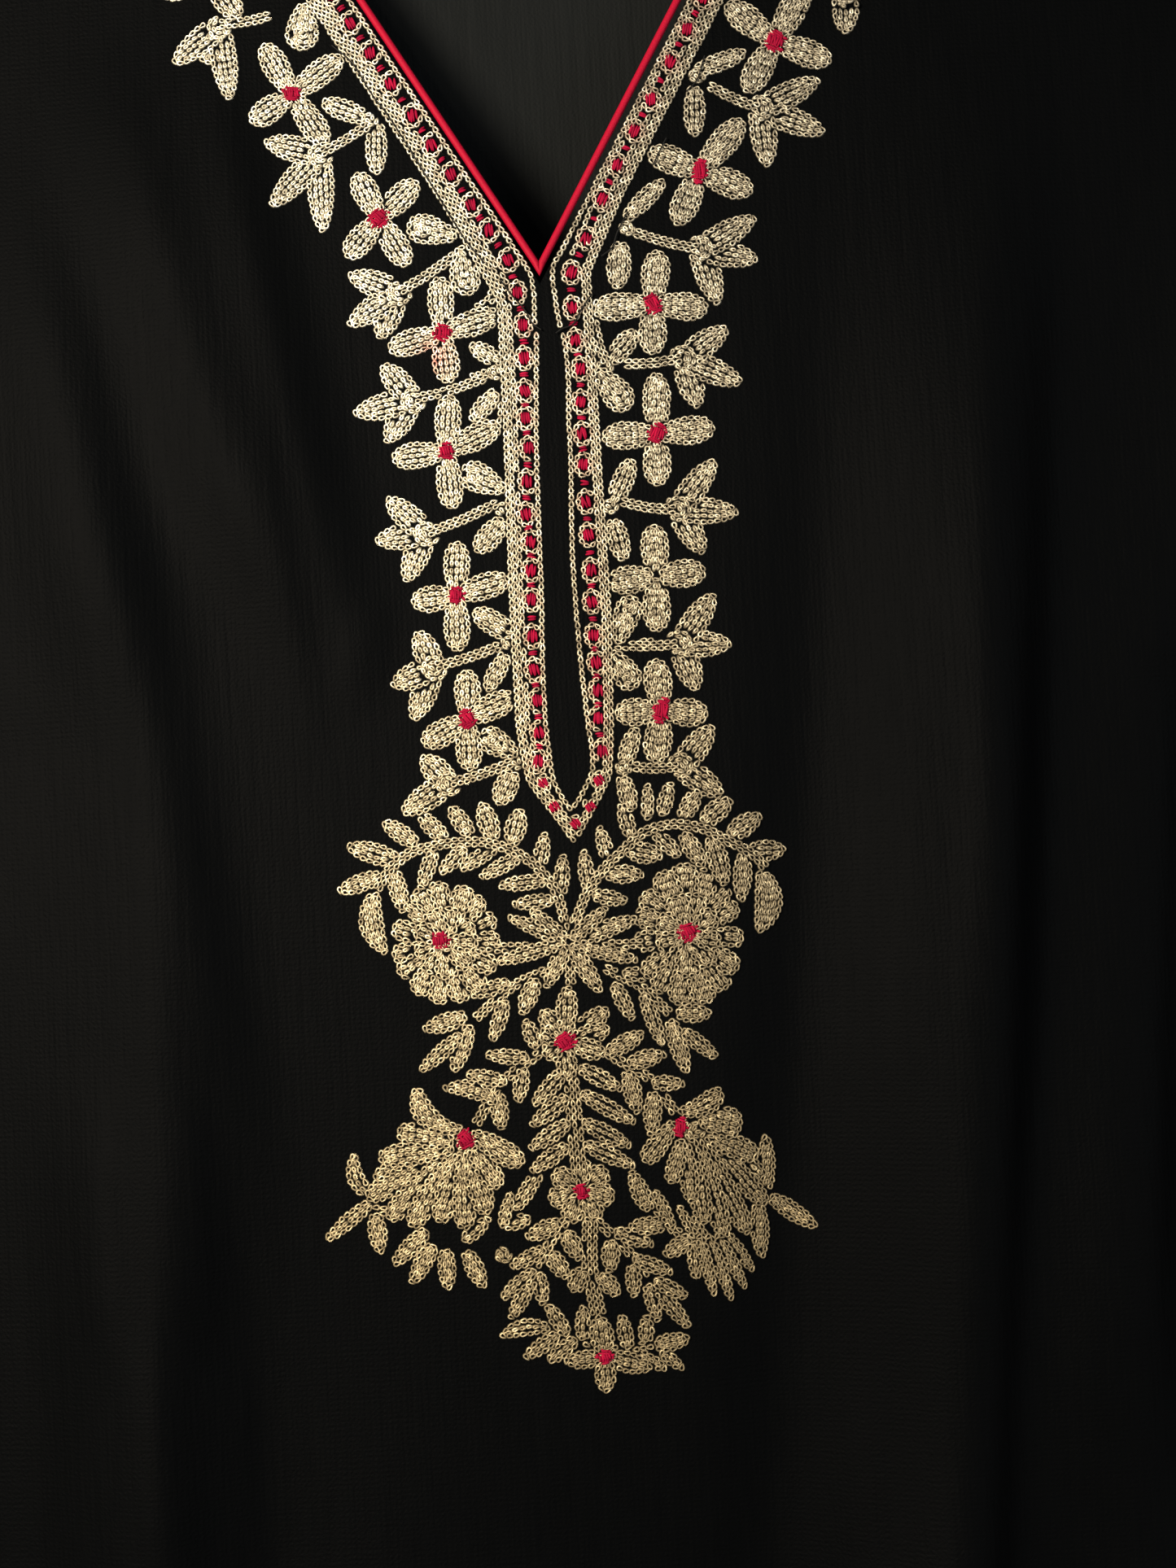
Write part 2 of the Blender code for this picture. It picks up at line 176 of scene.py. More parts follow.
# Small creases of a sleeve: degrees round it, how wide, where along it they start and end, how high
SLEEVE_CREASES = (
    (38.0, 5.0, 0.05, 0.60, 0.0022),
    (84.0, 5.5, 0.20, 0.95, 0.0024),
    (136.0, 5.0, 0.10, 0.70, 0.0026),
    (150.0, 4.0, 0.35, 1.10, 0.0020),
    (205.0, 5.0, 0.10, 0.75, 0.0026),
    (222.0, 4.0, 0.40, 1.10, 0.0020),
    (268.0, 5.5, 0.15, 0.90, 0.0024),
    (322.0, 5.0, 0.05, 0.65, 0.0022),
)

# How finely the cloth is divided
TOP_ROW_DROPS = (0.0, 0.0012, 0.0025, 0.004, 0.006, 0.0085, 0.011, 0.015, 0.020, 0.027, 0.036)
NECK_CROWDING = 1.5
FRONT_NECK_COLUMNS, FRONT_SIDE_COLUMNS, FRONT_ROWS = 22, 50, 176
BACK_NECK_COLUMNS, BACK_SIDE_COLUMNS, BACK_ROWS = 16, 40, 128
SLEEVE_AROUND, SLEEVE_RINGS = 80, 56

# Chain stitch, in millimetres
STITCH_PITCH = 2.4
ROW_WIDE = 1.9
ROW_HALF = ROW_WIDE / 2
STEM_WIDE = 2.0
FILL_WIDE = 1.65
# How near and how far apart the rows that fill a leaf may lie
FILL_CLOSEST, FILL_WIDEST = 1.45, 1.85
# How near one stitch may lie to another of the same patch, and to one of another patch
ROOM_WITHIN = 1.05
ROOM_BETWEEN = 1.36
LINK_STEPS = 10
# A loop's width along it: its middle, how much it narrows to its foot and opens to its head, and the
# fullest that this comes to
LOOP_MIDDLE, LOOP_TAPER, LOOP_FULLEST = 0.62, 0.38, 0.71
HEAD_LIFT = 0.22
# Half the thickness of a laid thread of unit length, and how far it arches
THREAD_HALF, THREAD_ARCH = 0.42, 0.55
# Painted light and shade on the gold: where down the front its tone is brightest, over how many millimetres
# below and above it the tone would fall by 1, how far the wearer's left is painted darker than the right, and
# over what width
PAINTED_LIGHT_PEAK_V = 70.0
PAINTED_DIMS_BELOW, PAINTED_DIMS_ABOVE = 640.0, 1600.0
PAINTED_SIDE_SHADE, PAINTED_SIDE_WIDTH = 0.2, 45.0

# The embroidery's tables were read on a flat plane: where the eye stood, what it looked straight at in u and
# v, and how deep the plane lies
EYE = (0.0070, -0.800, -0.4457)
EYE_LOOKS_AT = (5.9, 180.15)
READ_PLANE_Y = -0.0353


def ease(share):
    """0 to 1, slow at both ends."""
    share = np.clip(share, 0.0, 1.0)
    return share * share * (3.0 - 2.0 * share)


def quarter_round(share):
    """0 to 1 as a quarter of a circle rises, and 1 from there on."""
    share = np.clip(share, 0.0, 1.0)
    return np.sqrt(1.0 - (1.0 - share) ** 2)


def pulled(start, pull, end, share):
    """A coordinate of the curve from start to end that is drawn towards pull."""
    rest = 1.0 - share
    return rest * rest * start + 2.0 * rest * share * pull + share * share * end


def hanger_top(x):
    return HANGER_CROWN_Z - HANGER_DROP * (np.abs(x) / HANGER_HALF) ** HANGER_BEND


def shoulder_line(x):
    return hanger_top(x) + WALL / 2 + CLOTH_ON_HANGER


NECK_Z = float(shoulder_line(NECK_HALF))
V_BOTTOM_Z = NECK_Z - V_DEPTH
SHOULDER_TIP_Z = float(shoulder_line(SHOULDER_HALF))
UNDERARM_Z = SHOULDER_TIP_Z - ARMHOLE_DEEP


def half_width(z):
    return np.interp(SHOULDER_TIP_Z - z, [row[0] for row in SIDE_WIDTHS], [row[1] for row in SIDE_WIDTHS])


def hang_depth(below_shoulder):
    return DEPTH_TOP + DEPTH_MORE * (1.0 - np.exp(-np.maximum(below_shoulder, 0.0) / DEPTH_FALL))


def armhole_share(z):
    """1 along the open armhole, closing to 0 at the underarm and below it."""
    return quarter_round((z - UNDERARM_Z) / UNDERARM_CLOSE)


def fold_height(x, z, folds):
    height = np.zeros(np.broadcast(x, z).shape)
    for x_top, z_top, x_low, z_low, left, right, high, runs_on in folds:
        along = (z_top - z) / (z_top - z_low)
        crest_x = x_top + (x_low - x_top) * along
        reach = np.where(x < crest_x, left, right)
        fall = 1.0 if runs_on else ease((1.0 - along) / FOLD_FADES)
        height = height + high * ease(along / FOLD_RISES) * fall * np.exp(-(((x - crest_x) / reach) ** 2))
    return height


def panel_depth(x, z, folds):
    """How far the middle of the wall lies in front of, or behind, the garment's middle plane."""
    below = shoulder_line(x) - z
    full = hang_depth(below)
    share = np.minimum(np.abs(x) / half_width(z), 1.0)
    side = np.sqrt(np.maximum(1.0 - share**SIDE_SQUARENESS, 0.0))
    open_edge = armhole_share(z)
    depth = full * (open_edge + (1.0 - open_edge) * side)
    fade = side * side * ease(below / FOLDS_START)
    return quarter_round(below / SHOULDER_ROLL) * (depth + fade * fold_height(x, z, folds))


def front_y(x, z):
    return -(SEAM_TO_MIDDLE + panel_depth(x, z, FRONT_FOLDS + FRONT_CREASES))


def back_y(x, z):
    return SEAM_TO_MIDDLE + panel_depth(x, z, BACK_FOLDS + BACK_CREASES)


def v_edge_z(x):
    return V_BOTTOM_Z + V_DEPTH * np.abs(x) / NECK_HALF


def scoop_edge_z(x):
    return NECK_Z - BACK_SCOOP * (1.0 - (x / NECK_HALF) ** 2)


# Materials


def shader_of(name):
    made = bpy.data.materials.new(name)
    made.use_nodes = True
    return made, made.node_tree.nodes, made.node_tree.links, made.node_tree.nodes["Principled BSDF"]


def new_group(name, inputs, outputs):
    """A shader node group with number inputs and outputs of the kinds given."""
    group = bpy.data.node_groups.new(name, "ShaderNodeTree")
    for label, kind, value in inputs:
        socket = group.interface.new_socket(name=label, in_out="INPUT", socket_type=kind)
        if value is not None:
            socket.default_value = value
    for label, kind in outputs:
        group.interface.new_socket(name=label, in_out="OUTPUT", socket_type=kind)
    return group, group.nodes.new("NodeGroupInput"), group.nodes.new("NodeGroupOutput")


def placed(nodes, group, **values):
    node = nodes.new("ShaderNodeGroup")
    node.node_tree = group
    for label, value in values.items():
        node.inputs[label.replace("_", " ")].default_value = value
    return node


def noise(nodes, links, vector, scale, detail=3.0, roughness=0.55):
    node = nodes.new("ShaderNodeTexNoise")
    node.inputs["Scale"].default_value = scale
    node.inputs["Detail"].default_value = detail
    node.inputs["Roughness"].default_value = roughness
    links.new(vector, node.inputs["Vector"])
    return node.outputs["Fac"]


def stretched(nodes, links, vector, scale):
    """The coordinates scaled by three numbers, so that a pattern on them stretches."""
    node = nodes.new("ShaderNodeMapping")
    node.inputs["Scale"].default_value = scale
    links.new(vector, node.inputs["Vector"])
    return node.outputs["Vector"]


def feed(links, socket, value):
    """Links the socket to another, or sets it where the value is a plain one."""
    if isinstance(value, bpy.types.NodeSocket):
        links.new(value, socket)
    else:
        socket.default_value = value


def maths(nodes, links, operation, first, second):
    node = nodes.new("ShaderNodeMath")
    node.operation = operation
    for socket, value in zip(node.inputs, (first, second)):
        feed(links, socket, value)
    return node.outputs[0]


def spread(nodes, links, value, low, high):
    """A value from 0 to 1 spread over low to high, clamped."""
    node = nodes.new("ShaderNodeMapRange")
    node.inputs["To Min"].default_value = low
    node.inputs["To Max"].default_value = high
    links.new(value, node.inputs["Value"])
    return node.outputs["Result"]


def between(nodes, links, factor, first, second, blend="MIX"):
    """A mix of two colours by a factor."""
    node = nodes.new("ShaderNodeMix")
    node.data_type = "RGBA"
    node.blend_type = blend
    feed(links, node.inputs["Factor"], factor)
    colours = [socket for socket in node.inputs if socket.type == "RGBA"]
    for socket, value in zip(colours, (first, second)):
        feed(links, socket, (*value, 1.0) if isinstance(value, tuple) else value)
    return next(socket for socket in node.outputs if socket.type == "RGBA")


def crepe_group():
    """The crepe's weave: crossing yarns, a pebbled grain, and long faint crinkles that run down the cloth."""
    group, inside, outside = new_group(
        "crepe",
        [("Vector", "NodeSocketVector", None), ("Fineness", "NodeSocketFloat", 172.2462)],
        [("Height", "NodeSocketFloat"), ("Shade", "NodeSocketFloat")],
    )
    nodes, links = group.nodes, group.links
    vector = inside.outputs["Vector"]
    crossing = []
    for direction in ("X", "Y"):
        wave = nodes.new("ShaderNodeTexWave")
        wave.bands_direction = direction
        wave.inputs["Distortion"].default_value = 2.5
        wave.inputs["Detail"].default_value = 1.0
        wave.inputs["Detail Scale"].default_value = 1.5
        links.new(inside.outputs["Fineness"], wave.inputs["Scale"])
        links.new(vector, wave.inputs["Vector"])
        crossing.append(wave.outputs["Fac"])
    yarns = maths(nodes, links, "MULTIPLY", *crossing)
    grain = noise(nodes, links, vector, 900.0, 4.0, 0.6)
    crinkle = noise(nodes, links, stretched(nodes, links, vector, (260.0, 22.0, 1.0)), 1.0, 3.0, 0.6)
    cloudy = noise(nodes, links, stretched(nodes, links, vector, (34.0, 9.0, 1.0)), 1.0, 2.0, 0.5)
    fine = maths(nodes, links, "ADD", maths(nodes, links, "MULTIPLY", yarns, 0.25), grain)
    height = maths(nodes, links, "ADD", fine, maths(nodes, links, "MULTIPLY", crinkle, 1.6))
    links.new(height, outside.inputs["Height"])
    shade = maths(nodes, links, "ADD", crinkle, maths(nodes, links, "MULTIPLY", grain, 0.6))
    shade = maths(nodes, links, "ADD", shade, maths(nodes, links, "MULTIPLY", cloudy, 0.5))
    links.new(maths(nodes, links, "DIVIDE", shade, 2.1), outside.inputs["Shade"])
    return group


def twist_group():
    """A thread's twisted strands and the uneven glint of its wrapping."""
    group, inside, outside = new_group(
        "twisted thread",
        [("Vector", "NodeSocketVector", None), ("Fineness", "NodeSocketFloat", 3200.0)],
        [("Height", "NodeSocketFloat"), ("Glint", "NodeSocketFloat")],
    )
    nodes, links = group.nodes, group.links
    strands = nodes.new("ShaderNodeTexNoise")
    strands.inputs["Detail"].default_value = 2.0
    links.new(inside.outputs["Vector"], strands.inputs["Vector"])
    links.new(inside.outputs["Fineness"], strands.inputs["Scale"])
    glint = noise(nodes, links, inside.outputs["Vector"], 1500.0, 2.0, 0.6)
    links.new(strands.outputs["Fac"], outside.inputs["Height"])
    links.new(glint, outside.inputs["Glint"])
    return group


CREPE = crepe_group()
TWIST = twist_group()


def twisted(nodes, links, fineness):
    """A material's twisted thread, and the coordinates that it is laid on."""
    place = nodes.new("ShaderNodeTexCoord")
    twist = placed(nodes, TWIST, Fineness=fineness)
    links.new(place.outputs["Object"], twist.inputs["Vector"])
    return twist, place


def bumped(nodes, links, shader, height, distance, strength=1.0):
    bump = nodes.new("ShaderNodeBump")
    bump.inputs["Distance"].default_value = distance
    bump.inputs["Strength"].default_value = strength
    links.new(height, bump.inputs["Height"])
    links.new(bump.outputs["Normal"], shader.inputs["Normal"])


def faces_inwards(nodes, links):
    """1 on the sides of the cloth that face the garment's middle plane, and 0 on those that look out."""
    place = nodes.new("ShaderNodeTexCoord")
    place_split = nodes.new("ShaderNodeSeparateXYZ")
    links.new(place.outputs["Object"], place_split.inputs["Vector"])
    facing = nodes.new("ShaderNodeSeparateXYZ")
    links.new(place.outputs["Normal"], facing.inputs["Vector"])
    outwards = maths(nodes, links, "MULTIPLY", place_split.outputs["Y"], facing.outputs["Y"])
    return maths(nodes, links, "LESS_THAN", outwards, 0.0)


def black_crepe():
    look, nodes, links, shader = shader_of("black_crepe")
    place = nodes.new("ShaderNodeUVMap")
    place.uv_map = "cloth"
    weave = placed(nodes, CREPE)
    links.new(place.outputs["UV"], weave.inputs["Vector"])
    shade = weave.outputs["Shade"]
    right_side = between(nodes, links, shade, (0.0003, 0.0004, 0.0005), (0.0010, 0.0012, 0.0013))
    # The inward side is lighter: partly the crepe's duller wrong side, partly painted light standing in for
    # the light that reaches the garment's inside
    wrong_side_and_painted_light = between(nodes, links, shade, (0.0032, 0.0037, 0.0037), (0.0075, 0.0084, 0.0084))
    colour = between(nodes, links, faces_inwards(nodes, links), right_side, wrong_side_and_painted_light)
    links.new(colour, shader.inputs["Base Color"])
    links.new(spread(nodes, links, shade, 0.50, 0.72), shader.inputs["Roughness"])
    shader.inputs["Specular IOR Level"].default_value = 0.022
    shader.inputs["Sheen Weight"].default_value = 0.004
    shader.inputs["Sheen Roughness"].default_value = 0.40
    bumped(nodes, links, shader, weave.outputs["Height"], 0.00022)
    return look


def red_satin():
    look, nodes, links, shader = shader_of("red_satin")
    twist, _ = twisted(nodes, links, 2400.0)
    colour = between(nodes, links, twist.outputs["Glint"], (0.17, 0.001, 0.010), (0.32, 0.002, 0.020))
    links.new(colour, shader.inputs["Base Color"])
    links.new(spread(nodes, links, twist.outputs["Glint"], 0.50, 0.70), shader.inputs["Roughness"])
    shader.inputs["Specular IOR Level"].default_value = 0.1
    bumped(nodes, links, shader, twist.outputs["Height"], 0.00012)
    return look


# The heights between which the metal thread turns from silvery to golden
SILVERY_Z, GOLDEN_Z = -0.28, -0.60


def metal_thread():
    """Gold wrapped thread. Each stitch has a tone, dim at 0 and glinting at 1; the tone holds painted light
    and shade as well as random differences, and the twist's noise adds painted glints. The thread is silvery
    high on the garment and more golden low down."""
    look, nodes, links, shader = shader_of("metal_thread")
    tone = nodes.new("ShaderNodeAttribute")
    tone.attribute_name = "tone"
    twist, place = twisted(nodes, links, 3400.0)
    glint = spread(nodes, links, twist.outputs["Glint"], -0.12, 0.12)
    lit = maths(nodes, links, "ADD", tone.outputs["Fac"], glint)
    ramp = nodes.new("ShaderNodeValToRGB")
    stops = ramp.color_ramp.elements
    stops[0].position, stops[0].color = 0.0, (0.21, 0.175, 0.115, 1.0)
    stops[1].position, stops[1].color = 1.0, (0.84, 0.81, 0.73, 1.0)
    between_them = ((0.30, (0.44, 0.38, 0.26)), (0.60, (0.68, 0.60, 0.43)), (0.82, (0.78, 0.72, 0.55)))
    for position, colour in between_them:
        stops.new(position).color = (*colour, 1.0)
    links.new(lit, ramp.inputs["Fac"])
    split = nodes.new("ShaderNodeSeparateXYZ")
    links.new(place.outputs["Object"], split.inputs["Vector"])
    low = nodes.new("ShaderNodeMapRange")
    low.inputs["From Min"].default_value = SILVERY_Z
    low.inputs["From Max"].default_value = GOLDEN_Z
    links.new(split.outputs["Z"], low.inputs["Value"])
    tint = between(nodes, links, low.outputs["Result"], (0.94, 0.98, 1.05), (0.98, 0.93, 0.79))
    tinted = between(nodes, links, 1.0, ramp.outputs["Color"], tint, "MULTIPLY")
    dye = nodes.new("ShaderNodeAttribute")
    dye.attribute_name = "blush"
    dyed = between(nodes, links, dye.outputs["Fac"], tinted, (0.90, 0.10, 0.13))
    links.new(dyed, shader.inputs["Base Color"])
    links.new(spread(nodes, links, lit, 0.60, 0.42), shader.inputs["Roughness"])
    shader.inputs["Metallic"].default_value = 0.75
    bumped(nodes, links, shader, twist.outputs["Height"], 0.00014)
    return look


def red_thread():
    look, nodes, links, shader = shader_of("red_thread")
    tone = nodes.new("ShaderNodeAttribute")
    tone.attribute_name = "tone"
    twist, _ = twisted(nodes, links, 3000.0)
    colour = between(nodes, links, tone.outputs["Fac"], (0.13, 0.001, 0.013), (0.28, 0.002, 0.026))
    links.new(colour, shader.inputs["Base Color"])
    links.new(spread(nodes, links, twist.outputs["Glint"], 0.55, 0.80), shader.inputs["Roughness"])
    shader.inputs["Specular IOR Level"].default_value = 0.08
    bumped(nodes, links, shader, twist.outputs["Height"], 0.00020)
    return look


def sewing_thread():
    look, nodes, links, shader = shader_of("sewing_thread")
    twist, _ = twisted(nodes, links, 4000.0)
    colour = between(nodes, links, twist.outputs["Glint"], (0.003, 0.003, 0.003), (0.010, 0.010, 0.009))
    links.new(colour, shader.inputs["Base Color"])
    shader.inputs["Roughness"].default_value = 0.6
    shader.inputs["Specular IOR Level"].default_value = 0.10
    bumped(nodes, links, shader, twist.outputs["Height"], 0.00010)
    return look


def waxed_wood():
    look, nodes, links, shader = shader_of("waxed_wood")
    place = nodes.new("ShaderNodeTexCoord")
    grain_place = stretched(nodes, links, place.outputs["Object"], (7.0, 160.0, 160.0))
    grain = noise(nodes, links, grain_place, 1.0, 5.0, 0.6)
    pore_place = stretched(nodes, links, place.outputs["Object"], (90.0, 1400.0, 1400.0))
    pores = noise(nodes, links, pore_place, 1.0, 2.0, 0.6)
    colour = between(nodes, links, grain, (0.20, 0.092, 0.038), (0.46, 0.26, 0.12))
    links.new(colour, shader.inputs["Base Color"])
    links.new(spread(nodes, links, pores, 0.30, 0.52), shader.inputs["Roughness"])
    shader.inputs["Coat Weight"].default_value = 0.25
    shader.inputs["Coat Roughness"].default_value = 0.25
    bumped(nodes, links, shader, pores, 0.00012)
    return look


def hook_steel():
    look, nodes, links, shader = shader_of("hook_steel")
    place = nodes.new("ShaderNodeTexCoord")
    scuffs = noise(nodes, links, place.outputs["Object"], 260.0, 4.0, 0.7)
    colour = between(nodes, links, scuffs, (0.52, 0.52, 0.54), (0.72, 0.72, 0.73))
    links.new(colour, shader.inputs["Base Color"])
    links.new(spread(nodes, links, scuffs, 0.16, 0.36), shader.inputs["Roughness"])
    shader.inputs["Metallic"].default_value = 1.0
    return look


LOOKS = {
    "cloth": black_crepe(),
    "piping": red_satin(),
    "gold": metal_thread(),
    "red": red_thread(),
    "sewing": sewing_thread(),
    "wood": waxed_wood(),
    "steel": hook_steel(),
}


# Making a piece


def in_scene(name, data):
    made = bpy.data.objects.new(name, data)
    bpy.context.scene.collection.objects.link(made)
    return made


def piece(name, data, look):
    """A piece from its mesh or curve, on the frame's one body."""
    made = in_scene(name, data)
    data.materials.append(LOOKS[look])
    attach(made, "root")
    return made


def mesh_of(name, bm):
    mesh = bpy.data.meshes.new(name)
    bm.to_mesh(mesh)
    bm.free()
    mesh.shade_smooth()
    return mesh


def thicken(made):
    """Gives the cloth its wall, half of it to each side."""
    wall = made.modifiers.new("wall", "SOLIDIFY")
    wall.thickness = WALL
    wall.offset = 0.0
    wall.use_even_offset = True


def grid(columns, rows):
    """A bmesh grid, with the column and the row of each vertex counted from one corner."""
    bm = bmesh.new()
    bmesh.ops.create_grid(bm, x_segments=columns, y_segments=rows, size=1.0)
    places = np.array([vert.co for vert in bm.verts])
    column = np.round((places[:, 0] + 1.0) / 2.0 * columns)
    row = np.round((1.0 - places[:, 1]) / 2.0 * rows)
    return bm, column, row


def lay(bm, x, y, z, flat_x, flat_y):
    """Moves the grid's vertices to their places, and keeps where each lay on the flat cloth as its UV."""
    bm.verts.ensure_lookup_table()
    for vert, place in zip(bm.verts, np.stack([x, y, z], axis=1)):
        vert.co = place
    flat = bm.loops.layers.uv.new("cloth")
    for face in bm.faces:
        for loop in face.loops:
            index = loop.vert.index
            loop[flat].uv = (flat_x[index], flat_y[index])
    bmesh.ops.recalc_face_normals(bm, faces=bm.faces)


def body_panel(name, neck_columns, side_columns, rows, neck_edge, surface_y):
    half_columns = neck_columns + side_columns
    bm, column, row = grid(2 * half_columns, rows)
    count = np.abs(column - half_columns)
    neck_share = NECK_HALF / SHOULDER_HALF
    near = neck_share * (1.0 - (1.0 - np.minimum(count / neck_columns, 1.0)) ** NECK_CROWDING)
    far = neck_share + (1.0 - neck_share) * (count - neck_columns) / side_columns
    share = np.where(count <= neck_columns, near, far) * np.sign(column - half_columns)
    top_x = share * SHOULDER_HALF
    top_z = np.where(np.abs(top_x) < NECK_HALF - 1e-9, neck_edge(top_x), shoulder_line(top_x))
    last = len(TOP_ROW_DROPS) - 1
    drops = np.array(TOP_ROW_DROPS)[np.minimum(row, last).astype(int)]
    start = top_z - TOP_ROW_DROPS[last]
    hem_z = HEM_Z + HEM_SIDE_LIFT * share * share
    z = np.where(row <= last, top_z - drops, start + (hem_z - start) * (row - last) / (rows - last))
    x = share * half_width(z)
    lay(bm, x, surface_y(x, z), z, x, z)
    panel = piece(name, mesh_of(name, bm), "cloth")
    thicken(panel)
    return panel


def sleeve_place(side, angle, along):
    """Points of the sleeve: angle goes round it from its top line, along from the armhole to the cuff."""
    tip_x, tip_z = SHOULDER_HALF + ARMHOLE_GAP, SHOULDER_TIP_Z
    underarm_x, underarm_z = float(half_width(UNDERARM_Z)) + ARMHOLE_GAP, UNDERARM_Z
    top_x = pulled(tip_x, SLEEVE_TOP_PULL[0], SLEEVE_TOP_END[0], along)
    top_z = pulled(tip_z, SLEEVE_TOP_PULL[1], SLEEVE_TOP_END[1], along)
    under_x = pulled(underarm_x, SLEEVE_UNDER_PULL[0], SLEEVE_UNDER_END[0], along)
    under_z = pulled(underarm_z, SLEEVE_UNDER_PULL[1], SLEEVE_UNDER_END[1], along)
    across = np.cos(angle)
    x = (top_x + under_x) / 2 + (top_x - under_x) / 2 * across
    z = (top_z + under_z) / 2 + (top_z - under_z) / 2 * across
    armhole = np.where(z > UNDERARM_Z, panel_depth(SHOULDER_HALF, z, ()), 0.0)
    degrees = np.degrees(angle) % 360.0
    folds = sum(high * np.exp(-(((degrees - middle) / wide) ** 2)) for middle, wide, high in SLEEVE_FOLDS)
    small = 0.0
    for middle, wide, begins, ends, high in SLEEVE_CREASES:
        share = (along - begins) / (ends - begins)
        swell = ease(share / FOLD_RISES) * ease((1.0 - share) / FOLD_FADES)
        small = small + high * swell * np.exp(-(((degrees - middle) / wide) ** 2))
    hanging = SLEEVE_DEPTH * np.sqrt(np.maximum(1.0 - across**4, 0.0)) + folds * ease(along / 0.5) + small
    settled = ease(along / SLEEVE_SETTLES)
    closing = np.sqrt(np.maximum(1.0 - across**8, 0.0))
    depth = (armhole * (1.0 - settled) + hanging * settled) * closing
    return side * x, depth * np.sign(np.sin(angle)), z


def sleeve(name, side):
    bm, column, row = grid(SLEEVE_AROUND, SLEEVE_RINGS)
    angle = 2.0 * math.pi * column / SLEEVE_AROUND
    along = row / SLEEVE_RINGS
    x, y, z = sleeve_place(side, angle, along)
    lay(bm, x, y, z, column / SLEEVE_AROUND * SLEEVE_WEAVE_ROUND, -along * SLEEVE_WEAVE_LONG)
    bmesh.ops.remove_doubles(bm, verts=bm.verts, dist=1e-6)
    bmesh.ops.recalc_face_normals(bm, faces=bm.faces)
    made = piece(name, mesh_of(name, bm), "cloth")
    thicken(made)
    return made


front = body_panel("front_cloth", FRONT_NECK_COLUMNS, FRONT_SIDE_COLUMNS, FRONT_ROWS, v_edge_z, front_y)
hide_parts("front")
back = body_panel("back_cloth", BACK_NECK_COLUMNS, BACK_SIDE_COLUMNS, BACK_ROWS, scoop_edge_z, back_y)
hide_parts("back")
sleeve_right = sleeve("sleeve_right_cloth", 1.0)
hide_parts("sleeve_right")
sleeve_left = sleeve("sleeve_left_cloth", -1.0)
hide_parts("sleeve_left")


# Small shapes that are repeated: a loop of chain stitch and a short laid thread, in millimetres. X runs along
# the row and Z away from the cloth.


def chain_loop(long, wide, thread_half, thread_tall):
    """A loop of chain stitch: narrow where it leaves the last one, round and a little raised at its head."""
    bm = bmesh.new()
    corners = [
        bm.verts.new((1.0 + out, 0.0, up))
        for out, up in ((-thread_half, 0.0), (thread_half, 0.0), (0.0, thread_tall))
    ]
    edges = [bm.edges.new((corners[i], corners[(i + 1) % 3])) for i in range(3)]
    bmesh.ops.spin(
        bm,
        geom=corners + edges,
        cent=(0, 0, 0),
        axis=(0, 0, 1),
        angle=math.tau,
        steps=LINK_STEPS,
        use_merge=True,
    )
    bmesh.ops.remove_doubles(bm, verts=bm.verts, dist=1e-5)
    half_long = long / 2 - thread_half
    half_wide = wide / 2 - thread_half
    for vert in bm.verts:
        turn = math.atan2(vert.co.y, vert.co.x)
        out = math.hypot(vert.co.x, vert.co.y) - 1.0
        swell = (LOOP_MIDDLE - LOOP_TAPER * math.cos(turn)) / LOOP_FULLEST
        head = (1.0 - math.cos(turn)) / 2.0
        vert.co = (
            -math.cos(turn) * (half_long + out),
            math.sin(turn) * (half_wide * swell + out),
            vert.co.z + HEAD_LIFT * head,
        )
    bmesh.ops.recalc_face_normals(bm, faces=bm.faces)
    return shape_of(bm)


def laid_thread(sides, rings):
    """A short thread of unit length that arches over what is under it."""
    bm = bmesh.new()
    upright = Matrix.Rotation(math.pi / 2, 4, "Y")
    bmesh.ops.create_uvsphere(bm, u_segments=sides, v_segments=rings, radius=1.0, matrix=upright)
    for vert in bm.verts:
        bow = 1.0 - vert.co.x**2
        vert.co = (vert.co.x * 0.5, vert.co.y * THREAD_HALF, vert.co.z * THREAD_HALF + bow * THREAD_ARCH)
    bmesh.ops.recalc_face_normals(bm, faces=bm.faces)
    return shape_of(bm)


def shape_of(bm):
    """The points of a small shape, and its faces as lists of their indices."""
    bm.verts.index_update()
    points = np.array([vert.co for vert in bm.verts])
    faces = [[vert.index for vert in face.verts] for face in bm.faces]
    bm.free()
    return points, faces


# An open loop for edges and stems, and a fuller one, drawn tight, to fill with
OPEN_LOOP = chain_loop(3.15, 2.25, 0.41, 0.66)
TIGHT_LOOP = chain_loop(3.05, 1.95, 0.49, 0.74)
LAID_THREAD = laid_thread(6, 5)
SMALL_THREAD = laid_thread(4, 4)


def on_cloth(places):
    """Follows the eye's line through each place that was read, on to the curved cloth."""
    flat_x = EYE[0] + (places[:, 0] - EYE_LOOKS_AT[0]) * MM
    flat_z = EYE[2] - (places[:, 1] - EYE_LOOKS_AT[1]) * MM
    x, z = flat_x, flat_z
    for _ in range(4):
        reach = (front_y(x, z) - EYE[1]) / (READ_PLANE_Y - EYE[1])
        x = EYE[0] + (flat_x - EYE[0]) * reach
        z = EYE[2] + (flat_z - EYE[2]) * reach
    return np.stack([x / MM, (V_BOTTOM_Z - z) / MM], axis=1)


